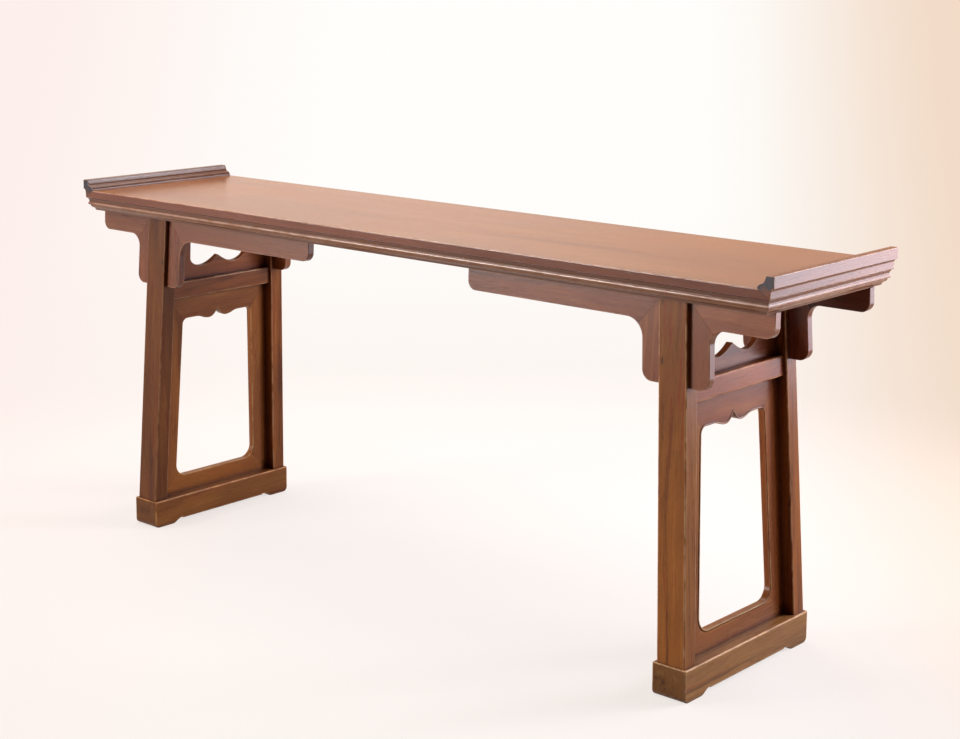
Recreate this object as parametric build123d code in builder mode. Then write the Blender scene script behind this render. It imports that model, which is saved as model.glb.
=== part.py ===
from build123d import *

import os
from math import cos, radians, sin, tan

os.makedirs("parts", exist_ok=True)

# A Chinese altar table with everted ends, in millimetres. X runs along the length, Y from the
# front to the back and Z up. The origin is on the floor under the middle of the top.
# Every piece is drawn once, at the back right of the table, and mirrored to its other places.

# ---- Table top ----
LENGTH = 2005.0  # over the outer faces of the two flanges
DEPTH = 446.0
SURFACE_HEIGHT = 820.0  # floor to the playing surface
EDGE_HEIGHT = 49.5  # surface to underside
SURFACE_ARRIS = 2.5  # rounding along the front and back of the surface

# ---- Moulding of the edge, from the top down; an inset is measured from the edge's face ----
BAND_HEIGHT = 18.0  # plain upper band
BAND_BATTER = 0.8
QUIRK = 1.5
COVE_INSET = 3.2
COVE_HEIGHT = 8.5
COVE_SAG = 1.1
BEAD_INSET = 6.5
BEAD_FILLET = 0.6
BEAD_HEIGHT = 7.4
BEAD_SAG = 2.0
OGEE_INSET = 8.8
OGEE_MIDDLE_INSET = 13.0
OGEE_SHARE = 0.5  # part of the ogee's height that its round upper half takes
OGEE_SAG = 1.1
UNDERSIDE_INSET = 17.5

# ---- End clamp with its everted flange ----
FLANGE_RISE = 25.5  # above the playing surface
FLANGE_CROWN = 17.5  # thickness at its top
FLANGE_WAIST = 20.0  # thickness where the upright turns into the cove
FLANGE_SPREAD = 28.5  # thickness where the cove meets the bead
FLANGE_FOOT = 36.0  # thickness at the playing surface
FLANGE_ARRIS = 2.2
WAIST_RISE = 17.5
SPREAD_RISE = 9.9
FLANGE_COVE_SAG = 1.9
FLANGE_BEAD_SAG = 1.9
END_SETBACK = 7.5  # lower end moulding behind the flange's outer face
END_COVE_DROP = 4.0
END_COVE_RISE = 3.0
END_COVE_SAG = 2.2
CLAMP_TONGUE = 12.0  # length of the top's tongue in the clamp's groove
CLAMP_TONGUE_THICKNESS = 16.0
CLAMP_TONGUE_MARGIN = 40.0  # from the front and back of the top

# ---- Legs ----
LEG_WIDTH = 64.5
LEG_DEPTH = 37.0
LEG_ARRIS = 2.5
LEG_END_INSET = 212.0  # from the flange's face to the leg's centre at its foot
LEG_FACE_INSET = 28.4  # from the front of the top to the leg's centre at its foot
END_SPLAY = 2.48  # degrees, along the length
FACE_SPLAY = 2.155  # degrees, front to back
TOP_TENON_WIDTH = 40.0
TOP_TENON_THICKNESS = 7.0
TOP_TENON_HEIGHT = 20.0
FOOT_TENON_WIDTH = 36.0
FOOT_TENON_THICKNESS = 18.0
FOOT_TENON_HEIGHT = 40.0

# ---- Aprons and spandrels ----
APRON_THICKNESS = 18.0
ARM_HEIGHT = 50.0
INNER_REACH = 488.0  # from the leg to the end of the inner apron
OUTER_REACH = 187.0
ARM_CORNER = 32.0
SPANDREL_WIDTH = 45.0  # beside the leg
SPANDREL_HEIGHT = 167.5
SPANDREL_CORNER = 22.0
INNER_KNEE = 39.0
OUTER_KNEE = 29.0

# ---- Shoe feet ----
FOOT_SETBACK = 5.0  # end of the foot behind the front of the top
FOOT_WIDTH = 78.0
FOOT_HEIGHT = 66.5
FOOT_ARRIS = 2.5
FOOT_END_RADIUS = 12.0
PAD_LENGTH = 52.0
ARCH_RUN = 33.0  # length of the curve from a pad to the arch
ARCH_RISE = 10.5
ARCH_CUSP = 2.0
CUSP_RUN = 3.0

# ---- Side stretchers ----
STRETCHER_DROP = 211.5  # from the playing surface to the top of the stretchers
STRETCHER_HEIGHT = 42.0
STRETCHER_WIDTH = 48.0
STRETCHER_ARRIS = 3.0
STRETCHER_TENON = 25.0
STRETCHER_TENON_THICKNESS = 16.0
STRETCHER_SHOULDER = 8.0

# ---- Inset boards between the legs of one end ----
BOARD_THICKNESS = 15.0
TONGUE_DEPTH = 6.0
TONGUE_THICKNESS = 5.0
TONGUE_STOP = 12.0  # from the end of a tongue to the end of its board

# ---- Scalloped board above the stretcher ----
PEAK_RISE = 49.7  # above the stretcher
TROUGH_RISE = 28.9
SCALLOP_TROUGH_Y = 51.0
SCALLOP_CHEEK_Y = 88.5
SCALLOP_CHEEK_RISE = 21.0
PEAK_FALL = 12.0

# ---- Openwork frame below the stretcher ----
OPENING_FOOT_Y = 128.2
OPENING_HEAD_Y = 110.3
OPENING_CORNER = 30.0
RAIL_HEIGHT = 41.5
HEAD_HEIGHT = 56.8  # from the stretcher down to the shoulders of the opening
SHOULDER_Y = 68.5
LOBE_Y = 27.5
LOBE_DROP = 8.5
LOBE_RISE = 5.5  # height of the lobe's round side, up to the notch
LOBE_SHARE = 0.43  # where that side ends, as a part of the way from the middle to the lobe
NOTCH_RISE = 11.5
FRAME_BEAD = 3.5  # raised bead along the opening
FRAME_BEAD_RISE = 1.2

TRIM = 5.0  # length that a piece is drawn past a face that cuts it off

UNDERSIDE = SURFACE_HEIGHT - EDGE_HEIGHT
END_SLOPE = radians(END_SPLAY)
FACE_SLOPE = radians(FACE_SPLAY)
CHEEK = (LEG_DEPTH - APRON_THICKNESS / cos(FACE_SLOPE)) / 2  # leg left on each side of its slot
OUTER_X = LENGTH / 2
LEG_FOOT_X = OUTER_X - LEG_END_INSET
LEG_FOOT_Y = DEPTH / 2 - LEG_FACE_INSET
FOOT_LENGTH = DEPTH - 2 * FOOT_SETBACK
END_FACE_X = OUTER_X - END_SETBACK
SHOULDER_X = OUTER_X - FLANGE_FOOT  # where the top meets the clamp
ARM_FOOT = UNDERSIDE - ARM_HEIGHT
SPANDREL_FOOT = UNDERSIDE - SPANDREL_HEIGHT
STRETCHER_TOP = SURFACE_HEIGHT - STRETCHER_DROP
STRETCHER_FOOT = STRETCHER_TOP - STRETCHER_HEIGHT
SCALLOP_PEAK = STRETCHER_TOP + PEAK_RISE
SCALLOP_TROUGH = STRETCHER_TOP + TROUGH_RISE
HEAD_FOOT = STRETCHER_FOOT - HEAD_HEIGHT
RAIL_TOP = FOOT_HEIGHT + RAIL_HEIGHT
STILE_TONGUE = (FOOT_HEIGHT + TONGUE_STOP, STRETCHER_FOOT - TONGUE_STOP)  # its two heights
BOARD_TONGUE = (STRETCHER_TOP + TONGUE_STOP, UNDERSIDE + TRIM)

ENDS = {"right": False, "left": True}
ROWS = {"rear": False, "front": True}


# ---- Places ----


def leg_x(height):
    """Distance of a leg's centre from the middle of the table, along its length."""
    return LEG_FOOT_X - (height - FOOT_HEIGHT) * tan(END_SLOPE)


def leg_y(height):
    """Distance of a leg's centre from the middle of the table, front to back."""
    return LEG_FOOT_Y - (height - FOOT_HEIGHT) * tan(FACE_SLOPE)


def inner_y(height):
    """Distance of the legs' facing sides from the middle of the table."""
    return leg_y(height) - LEG_DEPTH / 2


# The outer face of the aprons leans back with the legs. Its sketches face the table's inside.
apron_plane = Plane(
    origin=(0, leg_y(UNDERSIDE) + LEG_DEPTH / 2 - CHEEK, UNDERSIDE),
    x_dir=(1, 0, 0),
    z_dir=(0, -cos(FACE_SLOPE), -sin(FACE_SLOPE)),
)

# The middle of the inset boards leans in with the legs. Its sketches face outwards.
board_plane = Plane(
    origin=(LEG_FOOT_X, 0, FOOT_HEIGHT),
    x_dir=(0, 1, 0),
    z_dir=(cos(END_SLOPE), 0, sin(END_SLOPE)),
)

# The facing sides of the rear and front legs.
rear_leg_side = Plane(
    origin=(0, inner_y(FOOT_HEIGHT), FOOT_HEIGHT),
    x_dir=(1, 0, 0),
    z_dir=(0, cos(FACE_SLOPE), sin(FACE_SLOPE)),
)
front_leg_side = Plane(
    origin=(0, -inner_y(FOOT_HEIGHT), FOOT_HEIGHT),
    x_dir=(1, 0, 0),
    z_dir=(0, -cos(FACE_SLOPE), sin(FACE_SLOPE)),
)


def on_apron(x, height):
    """Sketch coordinates on the apron plane of a point at x and a height above the floor."""
    return (x, (height - UNDERSIDE) / cos(FACE_SLOPE))


def on_board(y, height):
    """Sketch coordinates on the board plane of a point at y and a height above the floor."""
    return (y, (height - FOOT_HEIGHT) / cos(END_SLOPE))


def beyond(start, end, share):
    """The point at a share of the way from start to end; past 1 it lies beyond the end."""
    return (
        start[0] + (end[0] - start[0]) * share,
        start[1] + (end[1] - start[1]) * share,
    )


def write_mirrored(piece, label, mirror_rows, mirror_ends):
    """Writes a piece and its mirror images at the front and at the left end."""
    for row, to_front in ROWS.items() if mirror_rows else [("", False)]:
        for end, to_left in ENDS.items() if mirror_ends else [("", False)]:
            name = "_".join(word for word in (row, end, label) if word)
            with BuildPart() as placed:
                add(piece)
                if to_front:
                    mirror(about=Plane.XZ, mode=Mode.REPLACE)
                if to_left:
                    mirror(about=Plane.YZ, mode=Mode.REPLACE)
            placed.part.label = name
            export_step(placed.part, f"parts/{name}.step")


# ---- Moulded edge of the top ----


def draw_edge_moulding(face):
    """Draws the moulding from the foot of the plain band down to the underside."""
    band_foot = SURFACE_HEIGHT - BAND_HEIGHT
    cove_top = band_foot - QUIRK
    cove_foot = cove_top - COVE_HEIGHT
    bead_top = cove_foot - BEAD_FILLET
    bead_foot = bead_top - BEAD_HEIGHT
    ogee_top = bead_foot - BEAD_FILLET
    ogee_middle = ogee_top - (ogee_top - UNDERSIDE) * OGEE_SHARE
    Line((face - BAND_BATTER, band_foot), (face - COVE_INSET, cove_top))
    SagittaArc((face - COVE_INSET, cove_top), (face - BEAD_INSET, cove_foot), -COVE_SAG)
    Line((face - BEAD_INSET, cove_foot), (face - BEAD_INSET, bead_top))
    SagittaArc((face - BEAD_INSET, bead_top), (face - BEAD_INSET, bead_foot), BEAD_SAG)
    Line((face - BEAD_INSET, bead_foot), (face - OGEE_INSET, ogee_top))
    SagittaArc((face - OGEE_INSET, ogee_top), (face - OGEE_MIDDLE_INSET, ogee_middle), OGEE_SAG)
    SagittaArc(
        (face - OGEE_MIDDLE_INSET, ogee_middle),
        (face - UNDERSIDE_INSET, UNDERSIDE),
        -OGEE_SAG,
    )


# The two wedges of long grain at the right end, where the top's front and back mouldings run
# out to the corners under the flange and meet the clamp's moulding in a mitre.
with BuildPart() as corner_wedges:
    with BuildSketch(Plane.XY.offset(UNDERSIDE)):
        mitre_run = END_FACE_X - SHOULDER_X
        with BuildLine():
            Polyline(
                (SHOULDER_X, DEPTH / 2 - mitre_run),
                (SHOULDER_X, DEPTH / 2 + TRIM),
                (END_FACE_X + TRIM, DEPTH / 2 + TRIM),
                close=True,
            )
        make_face()
        mirror(about=Plane.XZ)
    extrude(amount=EDGE_HEIGHT)
    with BuildSketch(Plane.XZ):
        bevel_foot = beyond(
            (SHOULDER_X, SURFACE_HEIGHT),
            (END_FACE_X, SURFACE_HEIGHT - BAND_HEIGHT),
            1 + TRIM / mitre_run,
        )
        with BuildLine():
            Polyline(
                (SHOULDER_X, SURFACE_HEIGHT),
                bevel_foot,
                (bevel_foot[0], UNDERSIDE),
                (SHOULDER_X, UNDERSIDE),
                close=True,
            )
        make_face()
    extrude(amount=DEPTH, both=True, mode=Mode.INTERSECT)

tongue_height = (SURFACE_HEIGHT + UNDERSIDE - CLAMP_TONGUE_THICKNESS) / 2
tongue_width = DEPTH - 2 * CLAMP_TONGUE_MARGIN

# ---- Top plank, one board with a tongue at each end ----
with BuildPart() as top_plank:
    with BuildSketch(Plane.YZ):
        with BuildLine():
            edge = DEPTH / 2
            Line((0, SURFACE_HEIGHT), (edge - SURFACE_ARRIS, SURFACE_HEIGHT))
            TangentArc(
                (edge - SURFACE_ARRIS, SURFACE_HEIGHT),
                (edge, SURFACE_HEIGHT - SURFACE_ARRIS),
                tangent=(1, 0),
            )
            Line(
                (edge, SURFACE_HEIGHT - SURFACE_ARRIS),
                (edge - BAND_BATTER, SURFACE_HEIGHT - BAND_HEIGHT),
            )
            draw_edge_moulding(edge)
            Line((edge - UNDERSIDE_INSET, UNDERSIDE), (0, UNDERSIDE))
            mirror(about=Plane.YZ)
        make_face()
    extrude(amount=OUTER_X, both=True)
    with BuildSketch(Plane.XY.offset(UNDERSIDE)):
        Rectangle(2 * SHOULDER_X, DEPTH)
    right_wedges = corner_wedges.part
    left_wedges = mirror(right_wedges, about=Plane.YZ, mode=Mode.PRIVATE)
    plank_reach = extrude(amount=EDGE_HEIGHT, mode=Mode.PRIVATE)
    add(plank_reach.fuse(right_wedges, left_wedges), mode=Mode.INTERSECT)
    with BuildSketch(Plane.XY.offset(tongue_height)):
        Rectangle(2 * (SHOULDER_X + CLAMP_TONGUE), tongue_width)
    extrude(amount=CLAMP_TONGUE_THICKNESS)
    # mortises for the two tenons at the head of each leg
    with BuildSketch(Plane.XY.offset(UNDERSIDE)):
        for cheek in (-1, 1):
            offset_y = cheek * (LEG_DEPTH - CHEEK) / 2
            for row in (-1, 1):
                with Locations(
                    (leg_x(UNDERSIDE), row * (leg_y(UNDERSIDE) + offset_y)),
                    (-leg_x(UNDERSIDE), row * (leg_y(UNDERSIDE) + offset_y)),
                ):
                    Rectangle(TOP_TENON_WIDTH, TOP_TENON_THICKNESS)
    extrude(amount=TOP_TENON_HEIGHT, mode=Mode.SUBTRACT)
top_plank.part.label = "top_plank"
export_step(top_plank.part, "parts/top_plank.step")

# ---- End clamps, each in one piece with its everted flange ----
with BuildPart() as end_clamp:
    with BuildSketch(Plane.XZ):
        with BuildLine():
            crown = SURFACE_HEIGHT + FLANGE_RISE
            Line((SHOULDER_X, UNDERSIDE), (END_FACE_X - UNDERSIDE_INSET, UNDERSIDE))
            draw_edge_moulding(END_FACE_X)
            Line(
                (END_FACE_X - BAND_BATTER, SURFACE_HEIGHT - BAND_HEIGHT),
                (END_FACE_X, SURFACE_HEIGHT - END_COVE_DROP),
            )
            SagittaArc(
                (END_FACE_X, SURFACE_HEIGHT - END_COVE_DROP),
                (OUTER_X, SURFACE_HEIGHT + END_COVE_RISE),
                END_COVE_SAG,
            )
            Line((OUTER_X, SURFACE_HEIGHT + END_COVE_RISE), (OUTER_X, crown - FLANGE_ARRIS))
            TangentArc(
                (OUTER_X, crown - FLANGE_ARRIS),
                (OUTER_X - FLANGE_ARRIS, crown),
                tangent=(0, 1),
            )
            Line((OUTER_X - FLANGE_ARRIS, crown), (OUTER_X - FLANGE_CROWN + FLANGE_ARRIS, crown))
            TangentArc(
                (OUTER_X - FLANGE_CROWN + FLANGE_ARRIS, crown),
                (OUTER_X - FLANGE_CROWN, crown - FLANGE_ARRIS),
                tangent=(-1, 0),
            )
            waist = (OUTER_X - FLANGE_WAIST, SURFACE_HEIGHT + WAIST_RISE)
            spread = (OUTER_X - FLANGE_SPREAD, SURFACE_HEIGHT + SPREAD_RISE)
            Line((OUTER_X - FLANGE_CROWN, crown - FLANGE_ARRIS), waist)
            SagittaArc(waist, spread, FLANGE_COVE_SAG)
            SagittaArc(spread, (SHOULDER_X, SURFACE_HEIGHT), -FLANGE_BEAD_SAG)
            Line((SHOULDER_X, SURFACE_HEIGHT), (SHOULDER_X, UNDERSIDE))
        make_face()
    extrude(amount=DEPTH / 2, both=True)
    # the ends of the clamp carry the front and back moulding
    with BuildSketch(Plane.YZ):
        with BuildLine():
            Line((0, crown), (DEPTH / 2, crown))
            Line((DEPTH / 2, crown), (DEPTH / 2, SURFACE_HEIGHT - SURFACE_ARRIS))
            Line(
                (DEPTH / 2, SURFACE_HEIGHT - SURFACE_ARRIS),
                (DEPTH / 2 - BAND_BATTER, SURFACE_HEIGHT - BAND_HEIGHT),
            )
            draw_edge_moulding(DEPTH / 2)
            Line((DEPTH / 2 - UNDERSIDE_INSET, UNDERSIDE), (0, UNDERSIDE))
            mirror(about=Plane.YZ)
        make_face()
    extrude(amount=LENGTH, mode=Mode.INTERSECT)
    add(corner_wedges.part, mode=Mode.SUBTRACT)
    with BuildSketch(Plane.XY.offset(tongue_height)):
        Rectangle(2 * (SHOULDER_X + CLAMP_TONGUE), tongue_width)
    extrude(amount=CLAMP_TONGUE_THICKNESS, mode=Mode.SUBTRACT)
write_mirrored(end_clamp.part, "end_clamp", mirror_rows=False, mirror_ends=True)


# ---- Outlines on the apron plane ----


def bracket_corners():
    """Corners of the two aprons and the spandrel that flank a leg, and the rounding at each."""
    knee = LEG_WIDTH / 2 + SPANDREL_WIDTH
    inner_end = leg_x(UNDERSIDE) - LEG_WIDTH / 2 - INNER_REACH
    outer_end = leg_x(UNDERSIDE) + LEG_WIDTH / 2 + OUTER_REACH
    corners = [
        (on_apron(inner_end, UNDERSIDE + TRIM), 0),
        (on_apron(inner_end, ARM_FOOT), ARM_CORNER),
        (on_apron(leg_x(ARM_FOOT) - knee, ARM_FOOT), INNER_KNEE),
        (on_apron(leg_x(SPANDREL_FOOT) - knee, SPANDREL_FOOT), SPANDREL_CORNER),
        (on_apron(leg_x(SPANDREL_FOOT) + knee, SPANDREL_FOOT), SPANDREL_CORNER),
        (on_apron(leg_x(ARM_FOOT) + knee, ARM_FOOT), OUTER_KNEE),
        (on_apron(outer_end, ARM_FOOT), ARM_CORNER),
        (on_apron(outer_end, UNDERSIDE + TRIM), 0),
    ]
    return corners


def apron_region(way):
    """Corners of the area on one side of the leg that lies beyond the mitre at the knee."""
    knee = on_apron(
        leg_x(ARM_FOOT) + way * (LEG_WIDTH / 2 + SPANDREL_WIDTH),
        ARM_FOOT,
    )
    leg_edge = on_apron(leg_x(UNDERSIDE) + way * LEG_WIDTH / 2, UNDERSIDE)
    far_x = way * (INNER_REACH + OUTER_REACH) + knee[0]
    above = beyond(knee, leg_edge, 1.5)
    below = beyond(leg_edge, knee, 1.5)
    return [above, below, (far_x, below[1]), (far_x, above[1])]


with BuildSketch() as bracket_face:
    with BuildLine():
        FilletPolyline(
            *[corner for corner, radius in bracket_corners()],
            radius=[radius for corner, radius in bracket_corners()],
            close=True,
        )
    make_face()

INWARDS = -1
OUTWARDS = 1

# ---- Inner and outer aprons ----
for way, word in ((INWARDS, "inner"), (OUTWARDS, "outer")):
    with BuildPart() as apron:
        with BuildSketch(apron_plane):
            add(bracket_face.sketch)
            Polygon(*apron_region(way), align=None, mode=Mode.INTERSECT)
        extrude(amount=APRON_THICKNESS)
        split(bisect_by=Plane.XY.offset(UNDERSIDE), keep=Keep.BOTTOM)
    write_mirrored(apron.part, f"{word}_apron", mirror_rows=True, mirror_ends=True)

# ---- Spandrels, each a board that passes through the slot of its leg ----
with BuildPart() as spandrel:
    with BuildSketch(apron_plane):
        add(bracket_face.sketch)
        Polygon(*apron_region(INWARDS), align=None, mode=Mode.SUBTRACT)
        Polygon(*apron_region(OUTWARDS), align=None, mode=Mode.SUBTRACT)
    extrude(amount=APRON_THICKNESS)
    split(bisect_by=Plane.XY.offset(UNDERSIDE), keep=Keep.BOTTOM)
write_mirrored(spandrel.part, "spandrel", mirror_rows=True, mirror_ends=True)


# ---- Outlines on the board plane ----


def leg_tongue(low, high):
    """Corners of a tongue into the rear leg's side, between two heights."""
    return [
        on_board(inner_y(low) - TRIM, low),
        on_board(inner_y(low) + TONGUE_DEPTH, low),
        on_board(inner_y(high) + TONGUE_DEPTH, high),
        on_board(inner_y(high) - TRIM, high),
    ]


def cross_tongue(height, depth):
    """Corners of a tongue along a board's level edge; a depth below nought points down."""
    reach = inner_y(height) - TONGUE_STOP
    return [
        on_board(-reach, height),
        on_board(reach, height),
        on_board(reach, height + depth),
        on_board(-reach, height + depth),
    ]


def stretcher_tenon():
    """Corners of the stretcher's tenon in the rear leg."""
    low = STRETCHER_FOOT + STRETCHER_SHOULDER
    high = STRETCHER_TOP - STRETCHER_SHOULDER
    return [
        on_board(inner_y(low) - TRIM, low),
        on_board(inner_y(low) + STRETCHER_TENON, low),
        on_board(inner_y(low) + STRETCHER_TENON, high),
        on_board(inner_y(low) - TRIM, high),
    ]


# ---- Legs ----
with BuildPart() as leg:
    with BuildSketch(Plane.XY.offset(FOOT_HEIGHT)):
        with Locations((leg_x(FOOT_HEIGHT), leg_y(FOOT_HEIGHT))):
            RectangleRounded(LEG_WIDTH, LEG_DEPTH, LEG_ARRIS)
    with BuildSketch(Plane.XY.offset(UNDERSIDE)):
        with Locations((leg_x(UNDERSIDE), leg_y(UNDERSIDE))):
            RectangleRounded(LEG_WIDTH, LEG_DEPTH, LEG_ARRIS)
    loft(ruled=True)
    # slot that clasps the spandrel
    with BuildSketch(apron_plane):
        Polygon(
            on_apron(leg_x(UNDERSIDE) - LEG_WIDTH, SPANDREL_FOOT),
            on_apron(leg_x(UNDERSIDE) + LEG_WIDTH, SPANDREL_FOOT),
            on_apron(leg_x(UNDERSIDE) + LEG_WIDTH, UNDERSIDE + TRIM),
            on_apron(leg_x(UNDERSIDE) - LEG_WIDTH, UNDERSIDE + TRIM),
            align=None,
        )
    extrude(amount=APRON_THICKNESS, mode=Mode.SUBTRACT)
    # grooves for the boards beside it
    with BuildSketch(board_plane):
        Polygon(*leg_tongue(*STILE_TONGUE), align=None)
        Polygon(*leg_tongue(*BOARD_TONGUE), align=None)
    extrude(amount=TONGUE_THICKNESS / 2, both=True, mode=Mode.SUBTRACT)
    with BuildSketch(board_plane):
        Polygon(*stretcher_tenon(), align=None)
    extrude(amount=STRETCHER_TENON_THICKNESS / 2, both=True, mode=Mode.SUBTRACT)
    # tenons at the head and the foot
    with BuildSketch(Plane.XY.offset(UNDERSIDE)):
        cheek_y = (LEG_DEPTH - CHEEK) / 2
        with Locations(
            (leg_x(UNDERSIDE), leg_y(UNDERSIDE) + cheek_y),
            (leg_x(UNDERSIDE), leg_y(UNDERSIDE) - cheek_y),
        ):
            Rectangle(TOP_TENON_WIDTH, TOP_TENON_THICKNESS)
    extrude(amount=TOP_TENON_HEIGHT)
    with BuildSketch(Plane.XY.offset(FOOT_HEIGHT)):
        with Locations((leg_x(FOOT_HEIGHT), leg_y(FOOT_HEIGHT))):
            Rectangle(FOOT_TENON_WIDTH, FOOT_TENON_THICKNESS)
    extrude(amount=-FOOT_TENON_HEIGHT)
write_mirrored(leg.part, "leg", mirror_rows=True, mirror_ends=True)

# ---- Shoe feet ----
with BuildPart() as foot:
    with BuildSketch(Plane.YZ.offset(LEG_FOOT_X - FOOT_WIDTH / 2)):
        with BuildLine():
            pad_y = FOOT_LENGTH / 2 - PAD_LENGTH
            arch_y = pad_y - ARCH_RUN
            end_y = FOOT_LENGTH / 2
            Line((0, FOOT_HEIGHT), (end_y, FOOT_HEIGHT))
            Line((end_y, FOOT_HEIGHT), (end_y, FOOT_END_RADIUS))
            TangentArc((end_y, FOOT_END_RADIUS), (end_y - FOOT_END_RADIUS, 0), tangent=(0, -1))
            Line((end_y - FOOT_END_RADIUS, 0), (pad_y, 0))
            Bezier(
                (pad_y, 0),
                (pad_y - ARCH_RUN / 2, 0),
                (arch_y + ARCH_RUN / 2, ARCH_RISE),
                (arch_y, ARCH_RISE),
            )
            Line((arch_y, ARCH_RISE), (arch_y - CUSP_RUN, ARCH_RISE - ARCH_CUSP))
            Line((arch_y - CUSP_RUN, ARCH_RISE - ARCH_CUSP), (0, ARCH_RISE - ARCH_CUSP))
            mirror(about=Plane.YZ)
        make_face()
    extrude(amount=FOOT_WIDTH)
    fillet(foot.faces().sort_by(Axis.Z)[-1].edges(), FOOT_ARRIS)
    with BuildSketch(Plane.XY.offset(FOOT_HEIGHT)):
        with Locations(
            (leg_x(FOOT_HEIGHT), leg_y(FOOT_HEIGHT)),
            (leg_x(FOOT_HEIGHT), -leg_y(FOOT_HEIGHT)),
        ):
            Rectangle(FOOT_TENON_WIDTH, FOOT_TENON_THICKNESS)
    extrude(amount=-FOOT_TENON_HEIGHT, mode=Mode.SUBTRACT)
    with BuildSketch(board_plane):
        Polygon(*cross_tongue(FOOT_HEIGHT, -TONGUE_DEPTH), align=None)
        Polygon(*cross_tongue(FOOT_HEIGHT, TRIM), align=None)
    extrude(amount=TONGUE_THICKNESS / 2, both=True, mode=Mode.SUBTRACT)
write_mirrored(foot.part, "foot", mirror_rows=False, mirror_ends=True)

# ---- Side stretchers ----
with BuildPart() as stretcher:
    with BuildSketch(board_plane):
        Polygon(
            on_board(-inner_y(STRETCHER_FOOT) - TRIM, STRETCHER_FOOT),
            on_board(inner_y(STRETCHER_FOOT) + TRIM, STRETCHER_FOOT),
            on_board(inner_y(STRETCHER_FOOT) + TRIM, STRETCHER_TOP),
            on_board(-inner_y(STRETCHER_FOOT) - TRIM, STRETCHER_TOP),
            align=None,
        )
    extrude(amount=STRETCHER_WIDTH / 2, both=True)
    fillet(stretcher.edges().filter_by(Axis.Y), STRETCHER_ARRIS)
    split(bisect_by=rear_leg_side, keep=Keep.BOTTOM)
    split(bisect_by=front_leg_side, keep=Keep.BOTTOM)
    with BuildSketch(board_plane):
        Polygon(*stretcher_tenon(), align=None)
        mirror(about=Plane.YZ)
    extrude(amount=STRETCHER_TENON_THICKNESS / 2, both=True)
    with BuildSketch(board_plane):
        Polygon(*cross_tongue(STRETCHER_TOP, -TONGUE_DEPTH), align=None)
        Polygon(*cross_tongue(STRETCHER_FOOT, TONGUE_DEPTH), align=None)
    extrude(amount=TONGUE_THICKNESS / 2, both=True, mode=Mode.SUBTRACT)
write_mirrored(stretcher.part, "side_stretcher", mirror_rows=False, mirror_ends=True)

# ---- Scalloped boards above the stretchers ----
with BuildPart() as scalloped_board:
    with BuildSketch(board_plane):
        with BuildLine():
            cheek_foot = SCALLOP_TROUGH + SCALLOP_CHEEK_RISE
            Bezier(
                on_board(0, SCALLOP_PEAK),
                on_board(SCALLOP_TROUGH_Y / 3, SCALLOP_PEAK - PEAK_FALL),
                on_board(SCALLOP_TROUGH_Y * 2 / 3, SCALLOP_TROUGH),
                on_board(SCALLOP_TROUGH_Y, SCALLOP_TROUGH),
            )
            Bezier(
                on_board(SCALLOP_TROUGH_Y, SCALLOP_TROUGH),
                on_board((SCALLOP_TROUGH_Y + SCALLOP_CHEEK_Y) / 2, SCALLOP_TROUGH),
                on_board(SCALLOP_CHEEK_Y, SCALLOP_TROUGH + SCALLOP_CHEEK_RISE / 2),
                on_board(SCALLOP_CHEEK_Y, cheek_foot),
            )
            Polyline(
                on_board(SCALLOP_CHEEK_Y, cheek_foot),
                on_board(SCALLOP_CHEEK_Y, UNDERSIDE + TRIM),
                on_board(inner_y(STRETCHER_TOP) + TRIM, UNDERSIDE + TRIM),
                on_board(inner_y(STRETCHER_TOP) + TRIM, STRETCHER_TOP),
                on_board(0, STRETCHER_TOP),
            )
            mirror(about=Plane.YZ)
        make_face()
    extrude(amount=BOARD_THICKNESS / 2, both=True)
    split(bisect_by=rear_leg_side, keep=Keep.BOTTOM)
    split(bisect_by=front_leg_side, keep=Keep.BOTTOM)
    with BuildSketch(board_plane):
        Polygon(*leg_tongue(*BOARD_TONGUE), align=None)
        mirror(about=Plane.YZ)
        Polygon(*cross_tongue(STRETCHER_TOP, -TONGUE_DEPTH), align=None)
    extrude(amount=TONGUE_THICKNESS / 2, both=True)
    split(bisect_by=Plane.XY.offset(UNDERSIDE), keep=Keep.BOTTOM)
write_mirrored(scalloped_board.part, "scalloped_board", mirror_rows=False, mirror_ends=True)

# ---- Openwork frame below the stretchers ----
opening_foot = on_board(OPENING_FOOT_Y, RAIL_TOP)
opening_head = on_board(OPENING_HEAD_Y, HEAD_FOOT)
frame_foot = on_board(inner_y(FOOT_HEIGHT), FOOT_HEIGHT)
frame_top = on_board(inner_y(STRETCHER_FOOT), STRETCHER_FOOT)

# the opening: a flat foot, leaning sides and a cusped head that rises to a point
with BuildSketch() as opening:
    with BuildLine():
        FilletPolyline(
            on_board(0, RAIL_TOP),
            opening_foot,
            opening_head,
            on_board(SHOULDER_Y, HEAD_FOOT),
            radius=[OPENING_CORNER, OPENING_CORNER],
        )
        shoulder = on_board(SHOULDER_Y, HEAD_FOOT)
        lobe = on_board(LOBE_Y, HEAD_FOOT - LOBE_DROP)
        peak = on_board(0, HEAD_FOOT + NOTCH_RISE)
        TangentArc(shoulder, beyond(shoulder, lobe, 0.5), tangent=(-1, 0))
        TangentArc(lobe, beyond(shoulder, lobe, 0.5), tangent=(1, 0))
        lobe_side = TangentArc(lobe, (lobe[0] * LOBE_SHARE, lobe[1] + LOBE_RISE), tangent=(-1, 0))
        TangentArc(lobe_side @ 1, peak, tangent=lobe_side % 1)
        mirror(about=Plane.YZ)
    make_face()

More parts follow.
